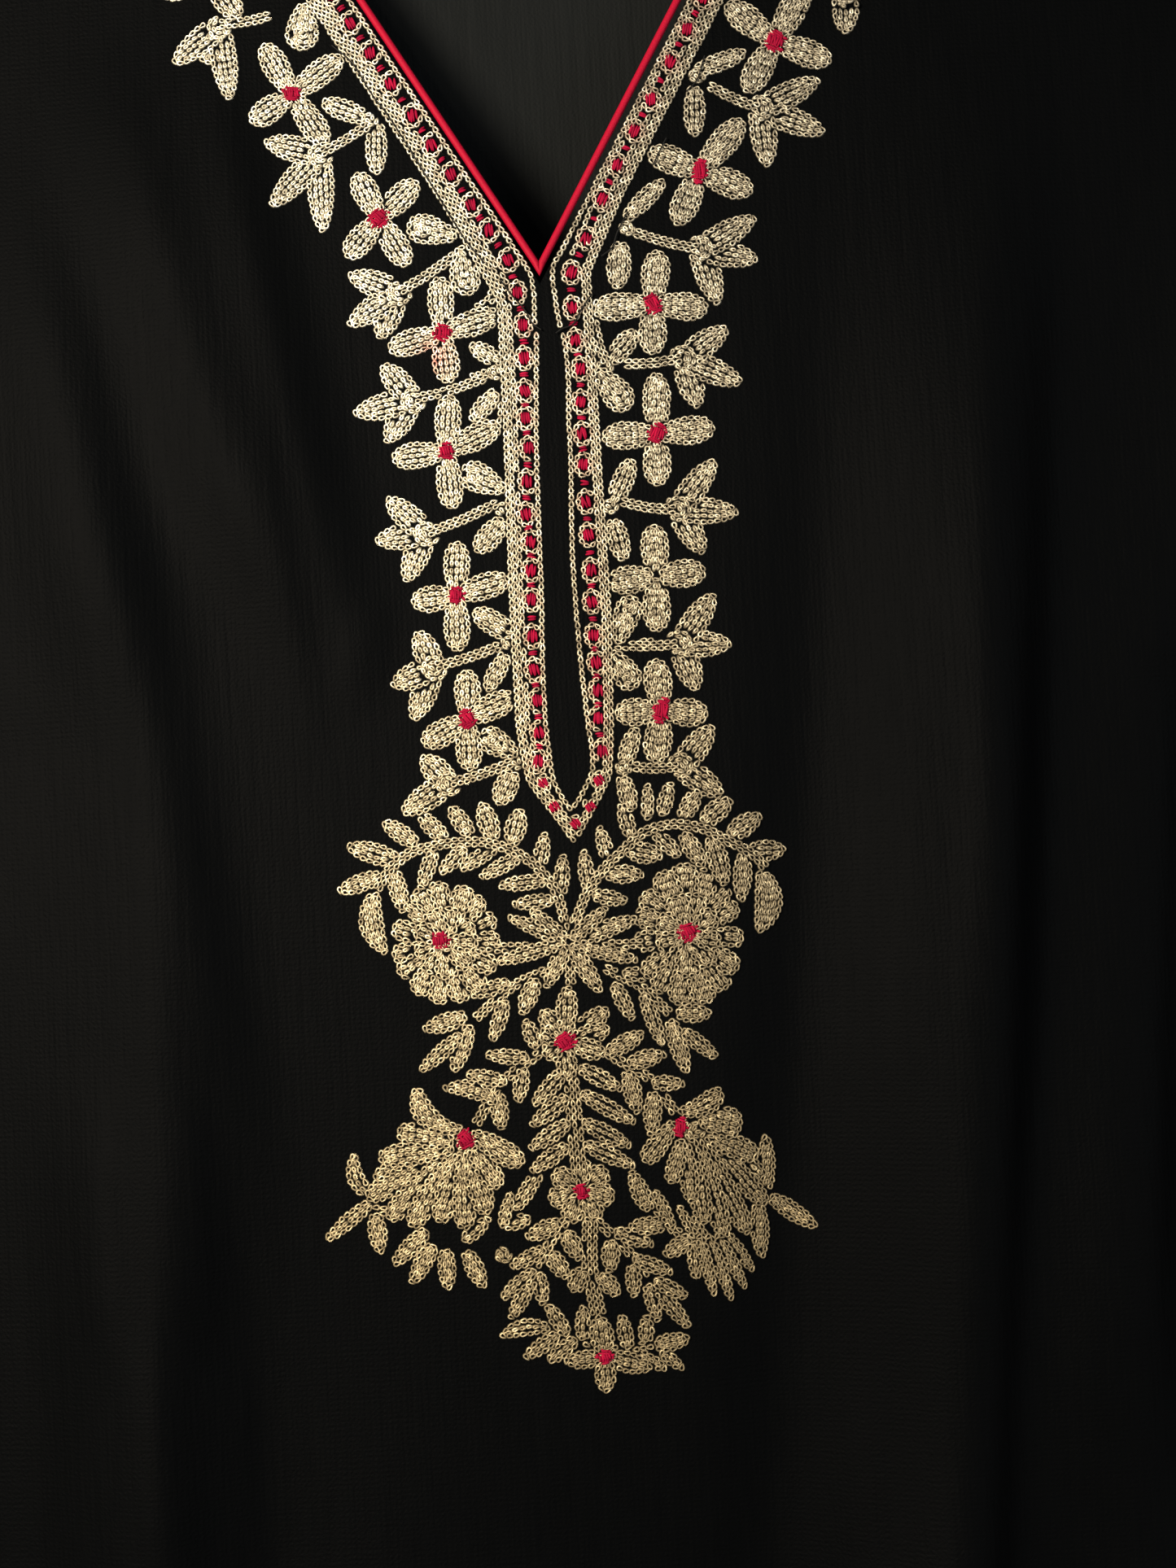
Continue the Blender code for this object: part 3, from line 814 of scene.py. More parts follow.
def front_frames(u, v, heading, surface_y=front_y, outwards=-1.0):
    """On a panel's outer side: the place, the direction along, across and away, of each point."""
    x, z = u * MM, V_BOTTOM_Z - v * MM
    step = 0.2 * MM
    y = surface_y(x, z)
    slope_x = (surface_y(x + step, z) - surface_y(x - step, z)) / (2 * step)
    slope_z = (surface_y(x, z + step) - surface_y(x, z - step)) / (2 * step)
    away = np.stack([slope_x, -np.ones_like(x), slope_z], axis=1) * -outwards
    away /= np.linalg.norm(away, axis=1)[:, None]
    run_x, run_z = np.cos(heading), -np.sin(heading)
    along = np.stack([run_x, run_x * slope_x + run_z * slope_z, run_z], axis=1)
    along /= np.linalg.norm(along, axis=1)[:, None]
    across = np.cross(away, along)
    place = np.stack([x, y, z], axis=1) + away * (WALL / 2)
    return place, along, across, away


def repeated(name, points, faces, frames, sizes, lift, tone, look, slot, painted_glints=0.0):
    """One mesh of many copies of a small shape, each on its own frame. The points are one set for all or a
    set for each. Sizes are along, across and away, in millimetres for each unit of the shape, lift is how
    far above the cloth each one starts, and the last argument is how much the tone changes round each one,
    a painted glint that moves round each copy."""
    place, along, across, away = frames
    count = len(place)
    points = np.broadcast_to(points, (count, *points.shape[-2:]))
    spots = (
        (place + away * lift[:, None] * MM)[:, None, :]
        + points[:, :, 0:1] * (along * sizes[:, 0:1])[:, None, :] * MM
        + points[:, :, 1:2] * (across * sizes[:, 1:2])[:, None, :] * MM
        + points[:, :, 2:3] * (away * sizes[:, 2:3])[:, None, :] * MM
    )
    every = [[index + copy * points.shape[1] for index in face] for copy in range(count) for face in faces]
    mesh = bpy.data.meshes.new(name)
    mesh.from_pydata(spots.reshape(-1, 3).tolist(), [], every)
    mesh.shade_smooth()
    turn = np.arctan2(points[:, :, 1], points[:, :, 0])
    # Painted glints: the tone rises and falls round each copy
    tones = tone[:, None] + painted_glints * np.sin(turn + 2.4 * np.arange(count)[:, None])
    attribute = mesh.attributes.new("tone", "FLOAT", "POINT")
    attribute.data.foreach_set("value", np.clip(tones, 0.0, 1.0).ravel().astype(np.float32))
    return piece(name, mesh, look)


# Patches of chain stitch. A row is a line of points in u and v. A patch is its rows of open loops, its rows
# of tight loops, and how far they lie above the cloth.


def smooth_line(points, steps=10):
    """A smooth line through the points."""
    knots = np.array(points, float)
    ends = np.vstack([2 * knots[0] - knots[1], knots, 2 * knots[-1] - knots[-2]])
    line = []
    for first, second, third, fourth in zip(ends, ends[1:], ends[2:], ends[3:]):
        for step in range(steps):
            share = step / steps
            line.append(
                0.5
                * (
                    2 * second
                    + (third - first) * share
                    + (2 * first - 5 * second + 4 * third - fourth) * share**2
                    + (3 * second - first - 3 * third + fourth) * share**3
                )
            )
    line.append(knots[-1])
    return np.array(line)


def beside(line, off):
    """The line moved sideways, to its left where off is more than 0."""
    run = np.gradient(line, axis=0)
    run /= np.maximum(np.hypot(run[:, 0], run[:, 1]), 1e-9)[:, None]
    return line + np.stack([run[:, 1], -run[:, 0]], axis=1) * off


def stem(points, rows=2, lift=0.0):
    line = smooth_line(points)
    middle = (rows - 1) / 2
    return [([beside(line, (row - middle) * STEM_WIDE) for row in range(rows)], [], lift)]


def leaf(base, tip, wide, bend=0.0, widest=0.44, foot=0.42, point=0.72, lift=0.0):
    """A leaf or petal: a row round its edge, then rows along it. Bend bows it to its left by that share of
    its length, widest is how far along its widest place lies, foot is its width at the base as a share, and
    point makes the tip rounder under 0.5 and sharper over it."""
    base, tip = np.array(base, float), np.array(tip, float)
    long = float(np.hypot(*(tip - base)))
    run = (tip - base) / long
    left = np.array([run[1], -run[0]])
    inset = min(ROW_HALF / long, 0.2)
    most = wide / 2 - ROW_HALF

    def at(share, off):
        bow = bend * long * 4.0 * share * (1.0 - share)
        return base + np.outer(share * long, run) + np.outer(bow + off, left)

    def half(share):
        rising = foot + (1.0 - foot) * np.sin(np.pi / 2 * np.clip(share / widest, 0.0, 1.0))
        falling = (1.0 - np.clip((share - widest) / (1.0 - inset - widest), 0.0, 1.0) ** 2) ** point
        return np.maximum(most * np.where(share < widest, rising, falling), 0.0)

    share = np.linspace(0.0, 1.0, 40)
    edge = inset + (1.0 - (1.0 - share) ** 1.6) * (1.0 - 2.0 * inset)
    edge_half = half(edge)
    up, down = at(edge, edge_half), at(edge[::-1], -edge_half[::-1])
    outline = np.vstack([up, down[1:], up[:1]])
    free = 2.0 * (most - ROW_WIDE)
    inside = max(round(free / FILL_WIDE + 1.0), 0)
    apart = min(max(free / max(inside - 1, 1), FILL_CLOSEST), FILL_WIDEST)
    rows = []
    for row in range(inside):
        off = (row - (inside - 1) / 2) * apart
        curve = off * (edge_half / most) ** 0.6
        room = (edge_half - np.abs(curve) > ROW_HALF) & ((1.0 - edge) * long > ROW_WIDE)
        if room.sum() > 3:
            rows.append(at(edge[room], curve[room]))
    return [([outline], rows, lift)]


def coil(centre, radius, start=0.0, lift=0.0):
    """A round bud: one row wound inwards."""
    turns = max((radius - ROW_HALF) / FILL_WIDE, 0.6)
    angle = np.linspace(0.0, turns * math.tau, max(int(turns * 24), 12))
    out = np.maximum(radius - ROW_HALF - FILL_WIDE * angle / math.tau, 0.25)
    turn = angle + start
    line = np.stack([centre[0] + out * np.cos(turn), centre[1] + out * np.sin(turn)], axis=1)
    return [([], [line], lift)]


def ring(centre, wide, tall, lift=0.0):
    angle = np.linspace(0.0, math.tau, 25)
    half_u, half_v = wide / 2 - ROW_HALF, tall / 2 - ROW_HALF
    line = np.stack([centre[0] + half_u * np.cos(angle), centre[1] + half_v * np.sin(angle)], axis=1)
    return [([line], [], lift)]


def rows_on_cloth(patches):
    """The patches with all their rows brought from the flat plane on to the cloth."""
    rows = [row for open_rows, tight_rows, _ in patches for row in open_rows + tight_rows]
    ends = np.cumsum([len(row) for row in rows])[:-1]
    placed = iter(np.split(on_cloth(np.concatenate(rows)), ends))
    return [
        ([next(placed) for _ in open_rows], [next(placed) for _ in tight_rows], lift)
        for open_rows, tight_rows, lift in patches
    ]


def stitches_on(line):
    """The stitches of one row: u, v, heading, and how far each is drawn out."""
    steps = np.hypot(*np.diff(line, axis=0).T)
    reach = np.concatenate([[0.0], np.cumsum(steps)])
    count = max(round(reach[-1] / STITCH_PITCH), 1)
    pitch = reach[-1] / count
    middle = (np.arange(count) + 0.5) * pitch
    fore, aft = np.minimum(middle + pitch / 2, reach[-1]), np.maximum(middle - pitch / 2, 0.0)
    run_u = np.interp(fore, reach, line[:, 0]) - np.interp(aft, reach, line[:, 0])
    run_v = np.interp(fore, reach, line[:, 1]) - np.interp(aft, reach, line[:, 1])
    u, v = np.interp(middle, reach, line[:, 0]), np.interp(middle, reach, line[:, 1])
    return np.stack([u, v, np.arctan2(run_v, run_u), np.full(count, pitch / STITCH_PITCH)], axis=1)


# The places of all that is sewn so far, from one that lies far off the cloth
SEWN = [np.full((1, 2), 1000.0)]


def sewn_patch(open_rows, tight_rows, lift):
    """The stitches of one patch that find room beside each other and beside all that was sewn before."""
    before = np.concatenate(SEWN)
    kept = []
    for tight, rows in ((0.0, open_rows), (1.0, tight_rows)):
        for line in rows:
            spots = stitches_on(line)
            gaps = np.hypot(*(spots[:, None, :2] - before[None, :, :2]).transpose(2, 0, 1))
            for spot in spots[gaps.min(axis=1) > ROOM_BETWEEN]:
                own = np.array([(other[0], other[1]) for other in kept] or [(1000.0, 1000.0)])
                if np.hypot(*(own - spot[:2]).T).min() > ROOM_WITHIN:
                    kept.append((*spot, lift, tight))
    kept = np.array(kept).reshape(-1, 6)
    SEWN.append(kept[:, :2])
    return kept


def chains(name, patches, seed, warmth):
    """Sews the patches as chain stitch, in one mesh."""
    chance = np.random.default_rng(seed)
    u, v, heading, stretch, lift, tight = np.concatenate([sewn_patch(*patch) for patch in patches]).T
    count = len(u)
    loose = 0.06 + 0.04 * tight
    u = u + chance.normal(0.0, 1.0, count) * loose
    v = v + chance.normal(0.0, 1.0, count) * loose
    heading = heading + chance.normal(0.0, 1.3, count) * loose
    sizes = np.stack(
        [
            np.clip(stretch, 0.75, 1.25) * chance.uniform(0.94, 1.08, count),
            chance.uniform(0.92, 1.12, count),
            chance.uniform(0.85, 1.20, count),
        ],
        axis=1,
    )
    # Painted light and shade: the tone falls away below and above the brightest place and darkens on the
    # wearer's left
    painted_falloff = np.where(v > PAINTED_LIGHT_PEAK_V, (PAINTED_LIGHT_PEAK_V - v) / PAINTED_DIMS_BELOW, (v - PAINTED_LIGHT_PEAK_V) / PAINTED_DIMS_ABOVE)
    lit = painted_falloff - PAINTED_SIDE_SHADE * np.tanh(u / PAINTED_SIDE_WIDTH)
    tone = warmth + lit + chance.normal(0.0, 0.11, count)
    (open_points, faces), (tight_points, _) = OPEN_LOOP, TIGHT_LOOP
    points = np.where(tight[:, None, None] > 0.5, tight_points[None], open_points[None])
    frames = front_frames(u, v, heading)
    lift = lift + chance.uniform(0.0, 0.14, count)
    return repeated(name, points, faces, frames, sizes, lift, tone, "gold", "metal_thread", 0.22)


def blush(made, places, reach, most):
    """Beside the red knots the stitches have taken up a little of their dye."""
    spots = np.empty(len(made.data.vertices) * 3)
    made.data.vertices.foreach_get("co", spots)
    spots = spots.reshape(-1, 3)[:, (0, 2)] / MM
    amount = np.zeros(len(spots))
    for u, v in places:
        away = np.hypot(spots[:, 0] - u, V_BOTTOM_Z / MM - spots[:, 1] - v)
        amount = np.maximum(amount, most * np.exp(-((away / reach) ** 2)))
    attribute = made.data.attributes.new("blush", "FLOAT", "POINT")
    attribute.data.foreach_set("value", amount.astype(np.float32))


def embroidery(name, patches, seed, warmth):
    return chains(name, rows_on_cloth(patches), seed, warmth)


def leaves(table, **shared):
    """Patches for a table of leaves: base u and v, tip u and v, width and, where it bows, the bend."""
    patches = []
    for base_u, base_v, tip_u, tip_v, wide, *bend in table:
        patches += leaf((base_u, base_v), (tip_u, tip_v), wide, bend[0] if bend else 0.0, **shared)
    return patches


# The vines beside the V and the slit

CROSS_FLOWERS_LEFT = (
    # centre, then each petal's tip
    ((-112, -112), ((-120, -129), (-95, -123), (-127, -104), (-101, -95))),
    ((-84, -67), ((-93, -85), (-66, -79), (-99, -58), (-73, -49))),
    ((-56, -22), ((-63, -38), (-42, -34), (-68, -9), (-47, -5))),
    ((-36, 19.5), ((-55, 24), (-16, 14), (-36, 0), (-35, 37))),
    ((-37, 61), ((-35, 41.5), (-56, 62.5), (-36, 81), (-18, 53))),
    ((-36.5, 111.5), ((-52, 113), (-18, 107), (-35, 93), (-37, 131))),
    ((-35, 155), ((-51, 163), (-18, 148), (-34, 138), (-35, 173))),
)
CROSS_FLOWERS_RIGHT = (
    ((113, -116), ((99, -127), (124, -132), (131, -106), (103, -99))),
    ((86, -76), ((70, -90), (98, -95), (105, -68), (75, -59))),
    ((57, -32), ((40, -40), (73, -49), (75, -24), (48, -14))),
    ((38, 13.5), ((17, 14), (57, 16), (41, -5), (37, 31))),
    ((37, 59), ((18, 59), (57, 58), (38, 38), (36, 77))),
    ((34, 109), ((17, 110), (51, 108), (34, 91), (33, 128))),
    ((33, 156), ((32, 138), (17, 156), (49, 158), (30, 174))),
)
SPRIGS_LEFT = (
    # where the stem starts, where it ends, and the tips of the lobes there
    ((-90, -95), (-108, -93), ((-125, -80), (-106, -66))),
    ((-58, -55), (-75, -46), ((-95, -51), (-94, -28), (-76, -18))),
    ((-28, -9), (-50, 4), ((-68, -3), (-69, 15), (-58.5, 20.5))),
    ((-22, 36), (-47, 42), ((-58, 29), (-69, 46), (-58, 57))),
    ((-20, 80), (-45, 89), ((-59, 76), (-64, 91), (-54, 106))),
    ((-22, 130), (-45, 136), ((-51, 123), (-61, 142), (-54, 155))),
    ((-20, 171), (-42, 177), ((-52, 167), (-60, 187))),
)
SPRIGS_RIGHT = (
    ((92, -104), (111, -92), ((111, -77), (124, -98))),
    ((62, -62), (79, -53), ((101, -62), (102, -43), (81, -32))),
    ((33, -12), (55, -5), ((76, -15), (76, 0), (61, 15))),
    ((27, 34), (47, 33), ((64, 23), (68, 43), (52, 51))),
    ((23, 82), (42, 86), ((57, 69), (64, 88), (51, 102))),
    ((18, 132), (40, 133), ((54, 116), (59, 134), (46, 150))),
    ((22, 175), (38, 176), ((51, 162), (53, 187))),
)
SIDE_LEAVES_LEFT = (
    (-58, -57, -74, -64, 8),
    (-55, -56, -56, -37, 8),
    (-16, 31, -27, 24, 7),
    (-18, 41, -28, 51, 7),
    (-18, 86, -29, 97, 9),
    (-17, 127, -31, 117, 9),
    (-20, 133, -28, 146, 7),
    (-20, 174, -26, 186, 9),
)
SIDE_LEAVES_RIGHT = (
    (57, -67, 76, -73, 7),
    (57, -62, 56, -44, 8),
    (30, -17, 45, -30, 7),
    (28, -9, 26, 8, 9),
    (22, 33, 32, 22, 8),
    (20, 83, 28, 67, 8),
    (20, 88, 23, 103, 8),
    (18, 176, 24, 161, 7),
    (18, 178, 21, 191, 7),
)
# The drops: where the stem leaves the border, the far end and the width
DROPS_LEFT = (
    (-78, -99, -80, -82, 12),
    (-29, -14, -46.5, -19, 11),
    (-28, -11, -26.5, 7, 11),
    (-17, 76, -32.5, 67.5, 11),
    (-18, 169, -31, 160, 10),
)
DROPS_RIGHT = (
    (17, 35, 28, 50, 11),
    (19, 132, 25.5, 115, 10),
    (17, 134, 24.5, 148, 10),
)
# Where leaves and stem part, and the short stems that branch off there
NODES_LEFT = ((-57.5, -57), (-18.5, 34), (-18.5, 82), (-19, 129), (-19, 171))
NODES_RIGHT = ((58, -66), (30.5, -14), (20, 34), (19, 83), (18, 133), (18.5, 175))
BRANCHES_LEFT = (
    ((-16, 1), (-19, 9), (-28, 13.5)),
    ((-16, 45), (-18, 53), (-27, 57)),
    ((-21, 34.5), (-27, 36)),
)
BRANCHES_RIGHT = (((17, 18), (18.5, 27), (21, 33)), ((20, 132), (28, 132), (36, 133)))


# The width of a sprig's outer lobes and of its middle one, and the radius of the coiled bud in a flower, at a
# sprig's end, and where leaves and stem part
LOBE_WIDE, MIDDLE_LOBE_WIDE = 9.8, 14.0
FLOWER_BUD, SPRIG_BUD, NODE_BUD = 2.2, 5.6, 3.8


def vine(flowers, sprigs, side_leaves, drops, nodes, branches, flower_wide):
    patches = []
    for centre, tips in flowers:
        centre = np.array(centre, float)
        for tip in tips:
            reach = np.array(tip, float) - centre
            start = centre + reach / np.hypot(*reach) * 1.0
            patches += leaf(start, tip + reach * 0.03, flower_wide, widest=0.56, foot=0.46, point=0.50)
        patches += coil(centre, FLOWER_BUD)
    for base_u, base_v, tip_u, tip_v, wide in drops:
        base, tip = np.array((base_u, base_v), float), np.array((tip_u, tip_v), float)
        run = (tip - base) / np.hypot(*(tip - base))
        outline, rows, lift = leaf(base, tip, wide, widest=0.68, foot=0.16, point=0.5)[0]
        _, bud, _ = coil(tip - run * wide / 2, wide / 2 - FILL_WIDE)[0]
        patches.append((outline, bud + rows, lift))
    for start, end, tips in sprigs:
        start, end = np.array(start, float), np.array(end, float)
        patches += stem([start, (start + end) / 2 + (0.0, 0.6), end])
        middle = sum(np.array(tip, float) for tip in tips) / len(tips)
        hub = end + (middle - end) / np.hypot(*(middle - end)) * 0.8
        patches += coil(hub, SPRIG_BUD, math.atan2(*(end - hub)[::-1]))
        for tip in tips:
            patches += leaf(hub, tip, LOBE_WIDE, widest=0.40, foot=0.88, point=0.66)
        tip = end + (middle - end) * 0.70
        patches += leaf(hub, tip, MIDDLE_LOBE_WIDE, widest=0.42, foot=0.8, point=0.5)
    for line in branches:
        patches += stem(line)
    for centre in nodes:
        patches += coil(centre, NODE_BUD)
    return patches + leaves(side_leaves, widest=0.5, foot=0.5, point=0.55)


# The garlands, flowers and sprays below the slit

GARLAND_STEM_LEFT = (
    (-5, 228), (-7, 218), (-12, 210), (-20, 203), (-30, 199),
    (-40, 198), (-50, 199), (-58, 201), (-65, 206), (-70, 213),
)
GARLAND_STEM_RIGHT = (
    (-1, 228), (3, 219), (10, 210), (17, 204), (25, 198),
    (35, 196), (45, 198), (54, 203), (62, 208), (66, 213),
)
GARLAND_LEAVES_LEFT = (
    (-6, 219, -4, 204, 6), (-13, 210, -10, 196, 6), (-22, 200, -18, 187, 8), (-28, 198, -32, 184, 8),
    (-36, 196, -43, 185, 7), (-45, 197, -54, 187, 7), (-55, 198, -67, 189, 7), (-62, 203, -80, 197, 8),
    (-8, 220, -23, 221, 6), (-10, 213, -28, 214, 6), (-19, 204, -34, 211, 6), (-27, 200, -41, 208, 6),
    (-38, 200, -48, 209, 6), (-49, 200, -55, 214, 6), (-64, 206, -61, 222, 7), (-68, 208, -84, 213, 7),
    (-71, 214, -68, 236, 9, -0.14),
)
GARLAND_LEAVES_RIGHT = (
    (4, 218, 3, 203, 6), (12, 209, 9, 195, 6), (20, 200, 17, 187, 6), (26, 194, 27, 181, 5),
    (31, 193, 35, 181, 6), (38, 195, 45, 183, 7), (45, 196, 56, 188, 8), (54, 201, 66, 194, 8),
    (60, 207, 74, 207, 8), (5, 219, 18, 222, 6), (10, 212, 24, 213, 7), (18, 204, 31, 207, 8),
    (28, 198, 37, 208, 6), (38, 199, 45, 212, 7), (48, 201, 52, 219, 8), (59, 207, 57, 225, 7),
    (65, 214, 62, 236, 10, 0.14),
)
STARBURST = (
    # tip u and v, width
    (-17, 223, 5.8), (-25, 225, 6), (-31, 241, 6), (-13, 251, 6.6),
    (10.5, 223.5, 5.8), (21, 228, 7.2), (20, 243, 6.8), (6.5, 254, 7),
)
UPPER_SPRAY_LEAVES = (
    (-16, 247, -22, 260, 7), (-25, 248, -40, 252, 6), (-27, 254, -33, 269, 6), (-41, 259, -57, 263, 7),
    (-43, 265, -59, 278, 6), (-40, 262, -47, 279, 7),
    (14, 247, 29, 249, 6), (11, 250, 17, 264, 6), (21, 254, 27, 274, 6), (32, 262, 45, 263, 7),
    (34, 268, 46, 279, 6), (30, 264, 35, 284, 7),
)
MIDDLE_FLOWER_TIPS = (
    (-5, 250), (-15, 258), (-16, 266), (-15, 275), (-7, 284), (7, 275), (9, 266), (9, 259),
)
SIDE_SPRAY_LEAVES = (
    (-17, 272, -21, 261, 6), (-20, 275, -36, 273, 6), (-22, 278, -25, 291, 6), (-28, 283, -43, 279, 6),
    (-32, 290, -51, 284, 7, -0.12), (-32, 286, -31, 300, 7),
    (7, 275, 21, 268, 7), (14, 279, 28, 276, 7), (14, 281, 17, 297, 7), (22, 286, 34, 287, 6),
    (23, 289, 21, 305, 7),
)
HERRINGBONE = (
    (-7, 279, -20, 292, 6.5), (-7, 289, -21, 299, 6.5), (-7, 298, -22, 307, 6.5), (-8, 306, -22, 315, 6.5),
    (-3, 279, 12, 288, 6.5), (-3, 288, 16, 300, 6.5), (-3, 298, 14, 308, 6.5), (-3, 306, 15, 315, 6.5),
)
BLOSSOM_PETALS_LEFT = (
    (-45, 299, -61, 283, 8.5, 0.20), (-48, 303, -68, 298, 9), (-48, 305, -75, 307, 9),
    (-42, 300, -24, 312, 9), (-42, 305, -33, 320, 9), (-43, 306, -38, 329, 9), (-45, 307, -46, 334, 9),
    (-46, 307, -55, 331, 9), (-48, 307, -65, 332, 9), (-49, 306, -73, 329, 9), (-50, 306, -80, 321, 9),
    (-50, 305, -77, 314, 8),
)
BLOSSOM_PETALS_RIGHT = (
    (31, 297, 47, 290, 8, -0.10), (38, 299, 53, 303, 12), (40, 305, 58, 314, 9), (30, 300, 18, 314, 8),
    (32, 306, 27, 322, 7), (33, 307, 34, 329, 7), (35, 306, 38, 337, 8), (37, 306, 45, 342, 8),
    (38, 306, 53, 341, 8), (40, 306, 60, 331, 8), (41, 306, 60, 322, 8),
)
BLOSSOM_LEAVES = (
    (-77, 321, -83, 304, 6.5, 0.18), (-78, 322, -95, 335, 6), (-77, 326, -76, 341, 7),
    (-59, 333, -72, 345, 7), (-57, 338, -66, 352, 7), (-53, 340, -53, 355, 7), (-46, 341, -40, 355, 7),
    (-47, 338, -37, 330, 6), (-33, 334, -29, 321, 5), (-33, 333, -22, 331, 6), (-28, 328, -17, 312, 6),
    (60, 326, 61, 306, 7), (61, 328, 78, 340, 7), (57, 330, 57, 350, 7),
    (36, 340, 40, 362, 5), (39, 340, 46, 364, 5), (42, 340, 51, 360, 5), (45, 340, 54, 354, 5),
    (34, 342, 34, 356, 6), (33, 341, 23, 347, 7), (19, 331, 13, 316, 7), (27, 338, 21, 323, 5),
    (35, 342, 29, 329, 4), (40, 345, 34, 333, 3.4), (25, 336, 11, 336, 7),
)
LOWER_SPRAY_LEAVES = (
    (-12, 333, -25, 338, 7), (-11, 336, -6, 347, 7), (-18, 342, -31, 348, 6), (-17, 343, -11, 353, 7),
    (-22, 349, -35, 359, 6), (-24, 354, -32, 366, 6), (-21, 350, -20, 362, 6),
    (6, 337, 20, 343, 6), (5, 340, 4, 352, 7), (12, 347, 26, 353, 6), (12, 349, 12, 361, 6),
    (19, 355, 31, 362, 6), (20, 358, 31, 373, 6), (17, 356, 20, 370, 6),
    (-5, 350, -10, 358, 8), (0, 352, 7, 360, 7),
)
BOTTOM_LEAVES = (
    (0.5, 380, -1, 366, 9), (0, 381, -14, 382, 7), (0.5, 382, 0, 394, 8), (1, 381, 17, 386, 8),
    (-7, 375, -6, 362, 6), (-12, 373, -19, 361, 6), (-18, 370, -36, 372, 6.5, -0.10), (-15, 372, -28, 380, 6),
    (-9, 374, -20, 382, 6), (9, 379, 7, 366, 6), (15, 377, 16, 367, 6), (18, 378, 31, 376, 7),
    (12, 380, 22, 387, 5), (20, 380, 28, 387, 5),
)


# A petal's width as a share of its part of the flower's round
PETAL_FULLNESS = 0.9632


def round_flower(centre, half_u, half_v, petals, seed):
    """A full flower of two rounds of petals, the inner one raised on the outer."""
    chance = np.random.default_rng(seed)
    centre = np.array(centre, float)
    patches = coil(centre, 4.0, lift=0.3)
    rounds = ((petals * 3 // 5, 0.08, 0.60, 0.20), (petals, 0.34, 1.0, 0.0))
    for count, inner, outer, lift in rounds:
        for petal in range(count):
            angle = math.tau * (petal + 0.35 * chance.uniform()) / count
            reach = np.array([half_u * math.cos(angle), half_v * math.sin(angle)])
            wide = math.tau * np.hypot(*reach) * outer * PETAL_FULLNESS / count
            base, tip = centre + reach * inner, centre + reach * outer
            patches += leaf(base, tip, wide, widest=0.70, foot=0.40, point=0.40, lift=lift)
    return patches


def petals_round(centre, tips, wide, start, **shared):
    centre = np.array(centre, float)
    patches = []
    for tip in tips:
        reach = np.array(tip, float) - centre
        patches += leaf(centre + reach / np.hypot(*reach) * start, tip, wide, **shared)
    return patches


def small_flower():
    centre, petals, reach = (-4.5, 322.5), 7, 12.0
    turns = [math.tau * (petal + 0.25) / petals for petal in range(petals)]
    tips = [(centre[0] + reach * math.cos(turn), centre[1] + reach * math.sin(turn)) for turn in turns]
    return petals_round(centre, tips, 8.5, 1.5, widest=0.62, foot=0.4, point=0.4)


def starburst():
    centre = (-4, 235)
    patches = []
    for tip_u, tip_v, wide in STARBURST:
        patches += petals_round(centre, [(tip_u, tip_v)], wide, 1.0, lift=0.2)
    patches += coil(centre, 4.0)
    patches += stem([(-8, 236), (-20, 236), (-30, 236)])
    patches += stem([(0, 236), (12, 237), (22, 237)])
    patches += stem([(-5, 231), (-6, 219)]) + stem([(-3, 231), (3, 219)])
    patches += stem([(-4, 239), (-4, 250)])
    return patches


# The border beside the V and the slit

V_RUN = math.hypot(NECK_HALF, V_DEPTH)
LEAN_U, LEAN_V = NECK_HALF / V_RUN, V_DEPTH / V_RUN
BORDER_LIFT = 0.1
# How far up the V the border runs, in how many points a row is laid there, and how far and how soon the
# band draws in to the piping
BORDER_TOP = 158.0
V_POINTS = 80
DRAWS_IN, DRAWN_IN_BY = 2.5, 50.0
# Rings round the red dots: how wide they are beside the V and beside the slit, how tall, and both for those
# below the slit
V_RING_LEFT, V_RING_RIGHT, SLIT_RING = 8.2, 7.8, 7.2
RING_TALL = 9.8
END_RING = (6.2, 7.2)


def beside_v(along, off):
    """A place on the right of the V, along up its edge from the bottom and off outwards from it."""
    u = along * LEAN_U + off * LEAN_V
    v = -along * LEAN_V + off * LEAN_U
    return u, v


# How far to the right of the V's middle the band beside the slit lies, and its point
SLIT_SHIFT = 1.9
TIP_U = 1.3
# How far the outer rows bow outwards on their way down the slit
BOWS_LEFT = ((0.0, 45.0), (1.4, 110.0), (1.5, 157.0), (-1.0, 176.0))
BOWS_RIGHT = ((0.0, 60.0), (0.4, 119.0), (-0.9, 156.0), (-2.5, 176.0))


def beside_v_band(along, off):
    """The same, for the band: up the V it draws in to the piping."""
    return beside_v(along, off - DRAWS_IN * ease(along / DRAWN_IN_BY))


def border_line(off_v, off_slit, tip, side):
    """A row that comes down beside the V, turns down beside the slit, and ends at the point below it."""
    off_slit += side * SLIT_SHIFT
    meet_along = (off_slit - off_v * LEAN_V) / LEAN_U
    line = [beside_v_band(along, off_v) for along in np.linspace(BORDER_TOP, meet_along, V_POINTS)[:-1]]
    bows = [(off_slit + bow, v) for bow, v in (BOWS_LEFT if side < 0 else BOWS_RIGHT)]
    knots = np.array([beside_v(meet_along, off_v), *bows, (side * TIP_U, tip)])
    for first, second in zip(knots, knots[1:]):
        steps = max(int(math.hypot(*(second - first)) / 2.0), 2)
        line += [first + (second - first) * step / steps for step in range(steps)]
    line.append(knots[-1])
    line = np.array(line)
    line[1:-1] = (line[:-2] + line[1:-1] + line[2:]) / 3
    line[:, 0] *= side
    return line


def v_row(side, off_v, low):
    """A row beside the V alone."""
    line = [beside_v_band(along, off_v) for along in np.linspace(BORDER_TOP, low, V_POINTS)]
    return np.array(line) * (side, 1.0)


def border_row(line):
    """A patch of one row of open loops."""
    return [line], [], BORDER_LIFT


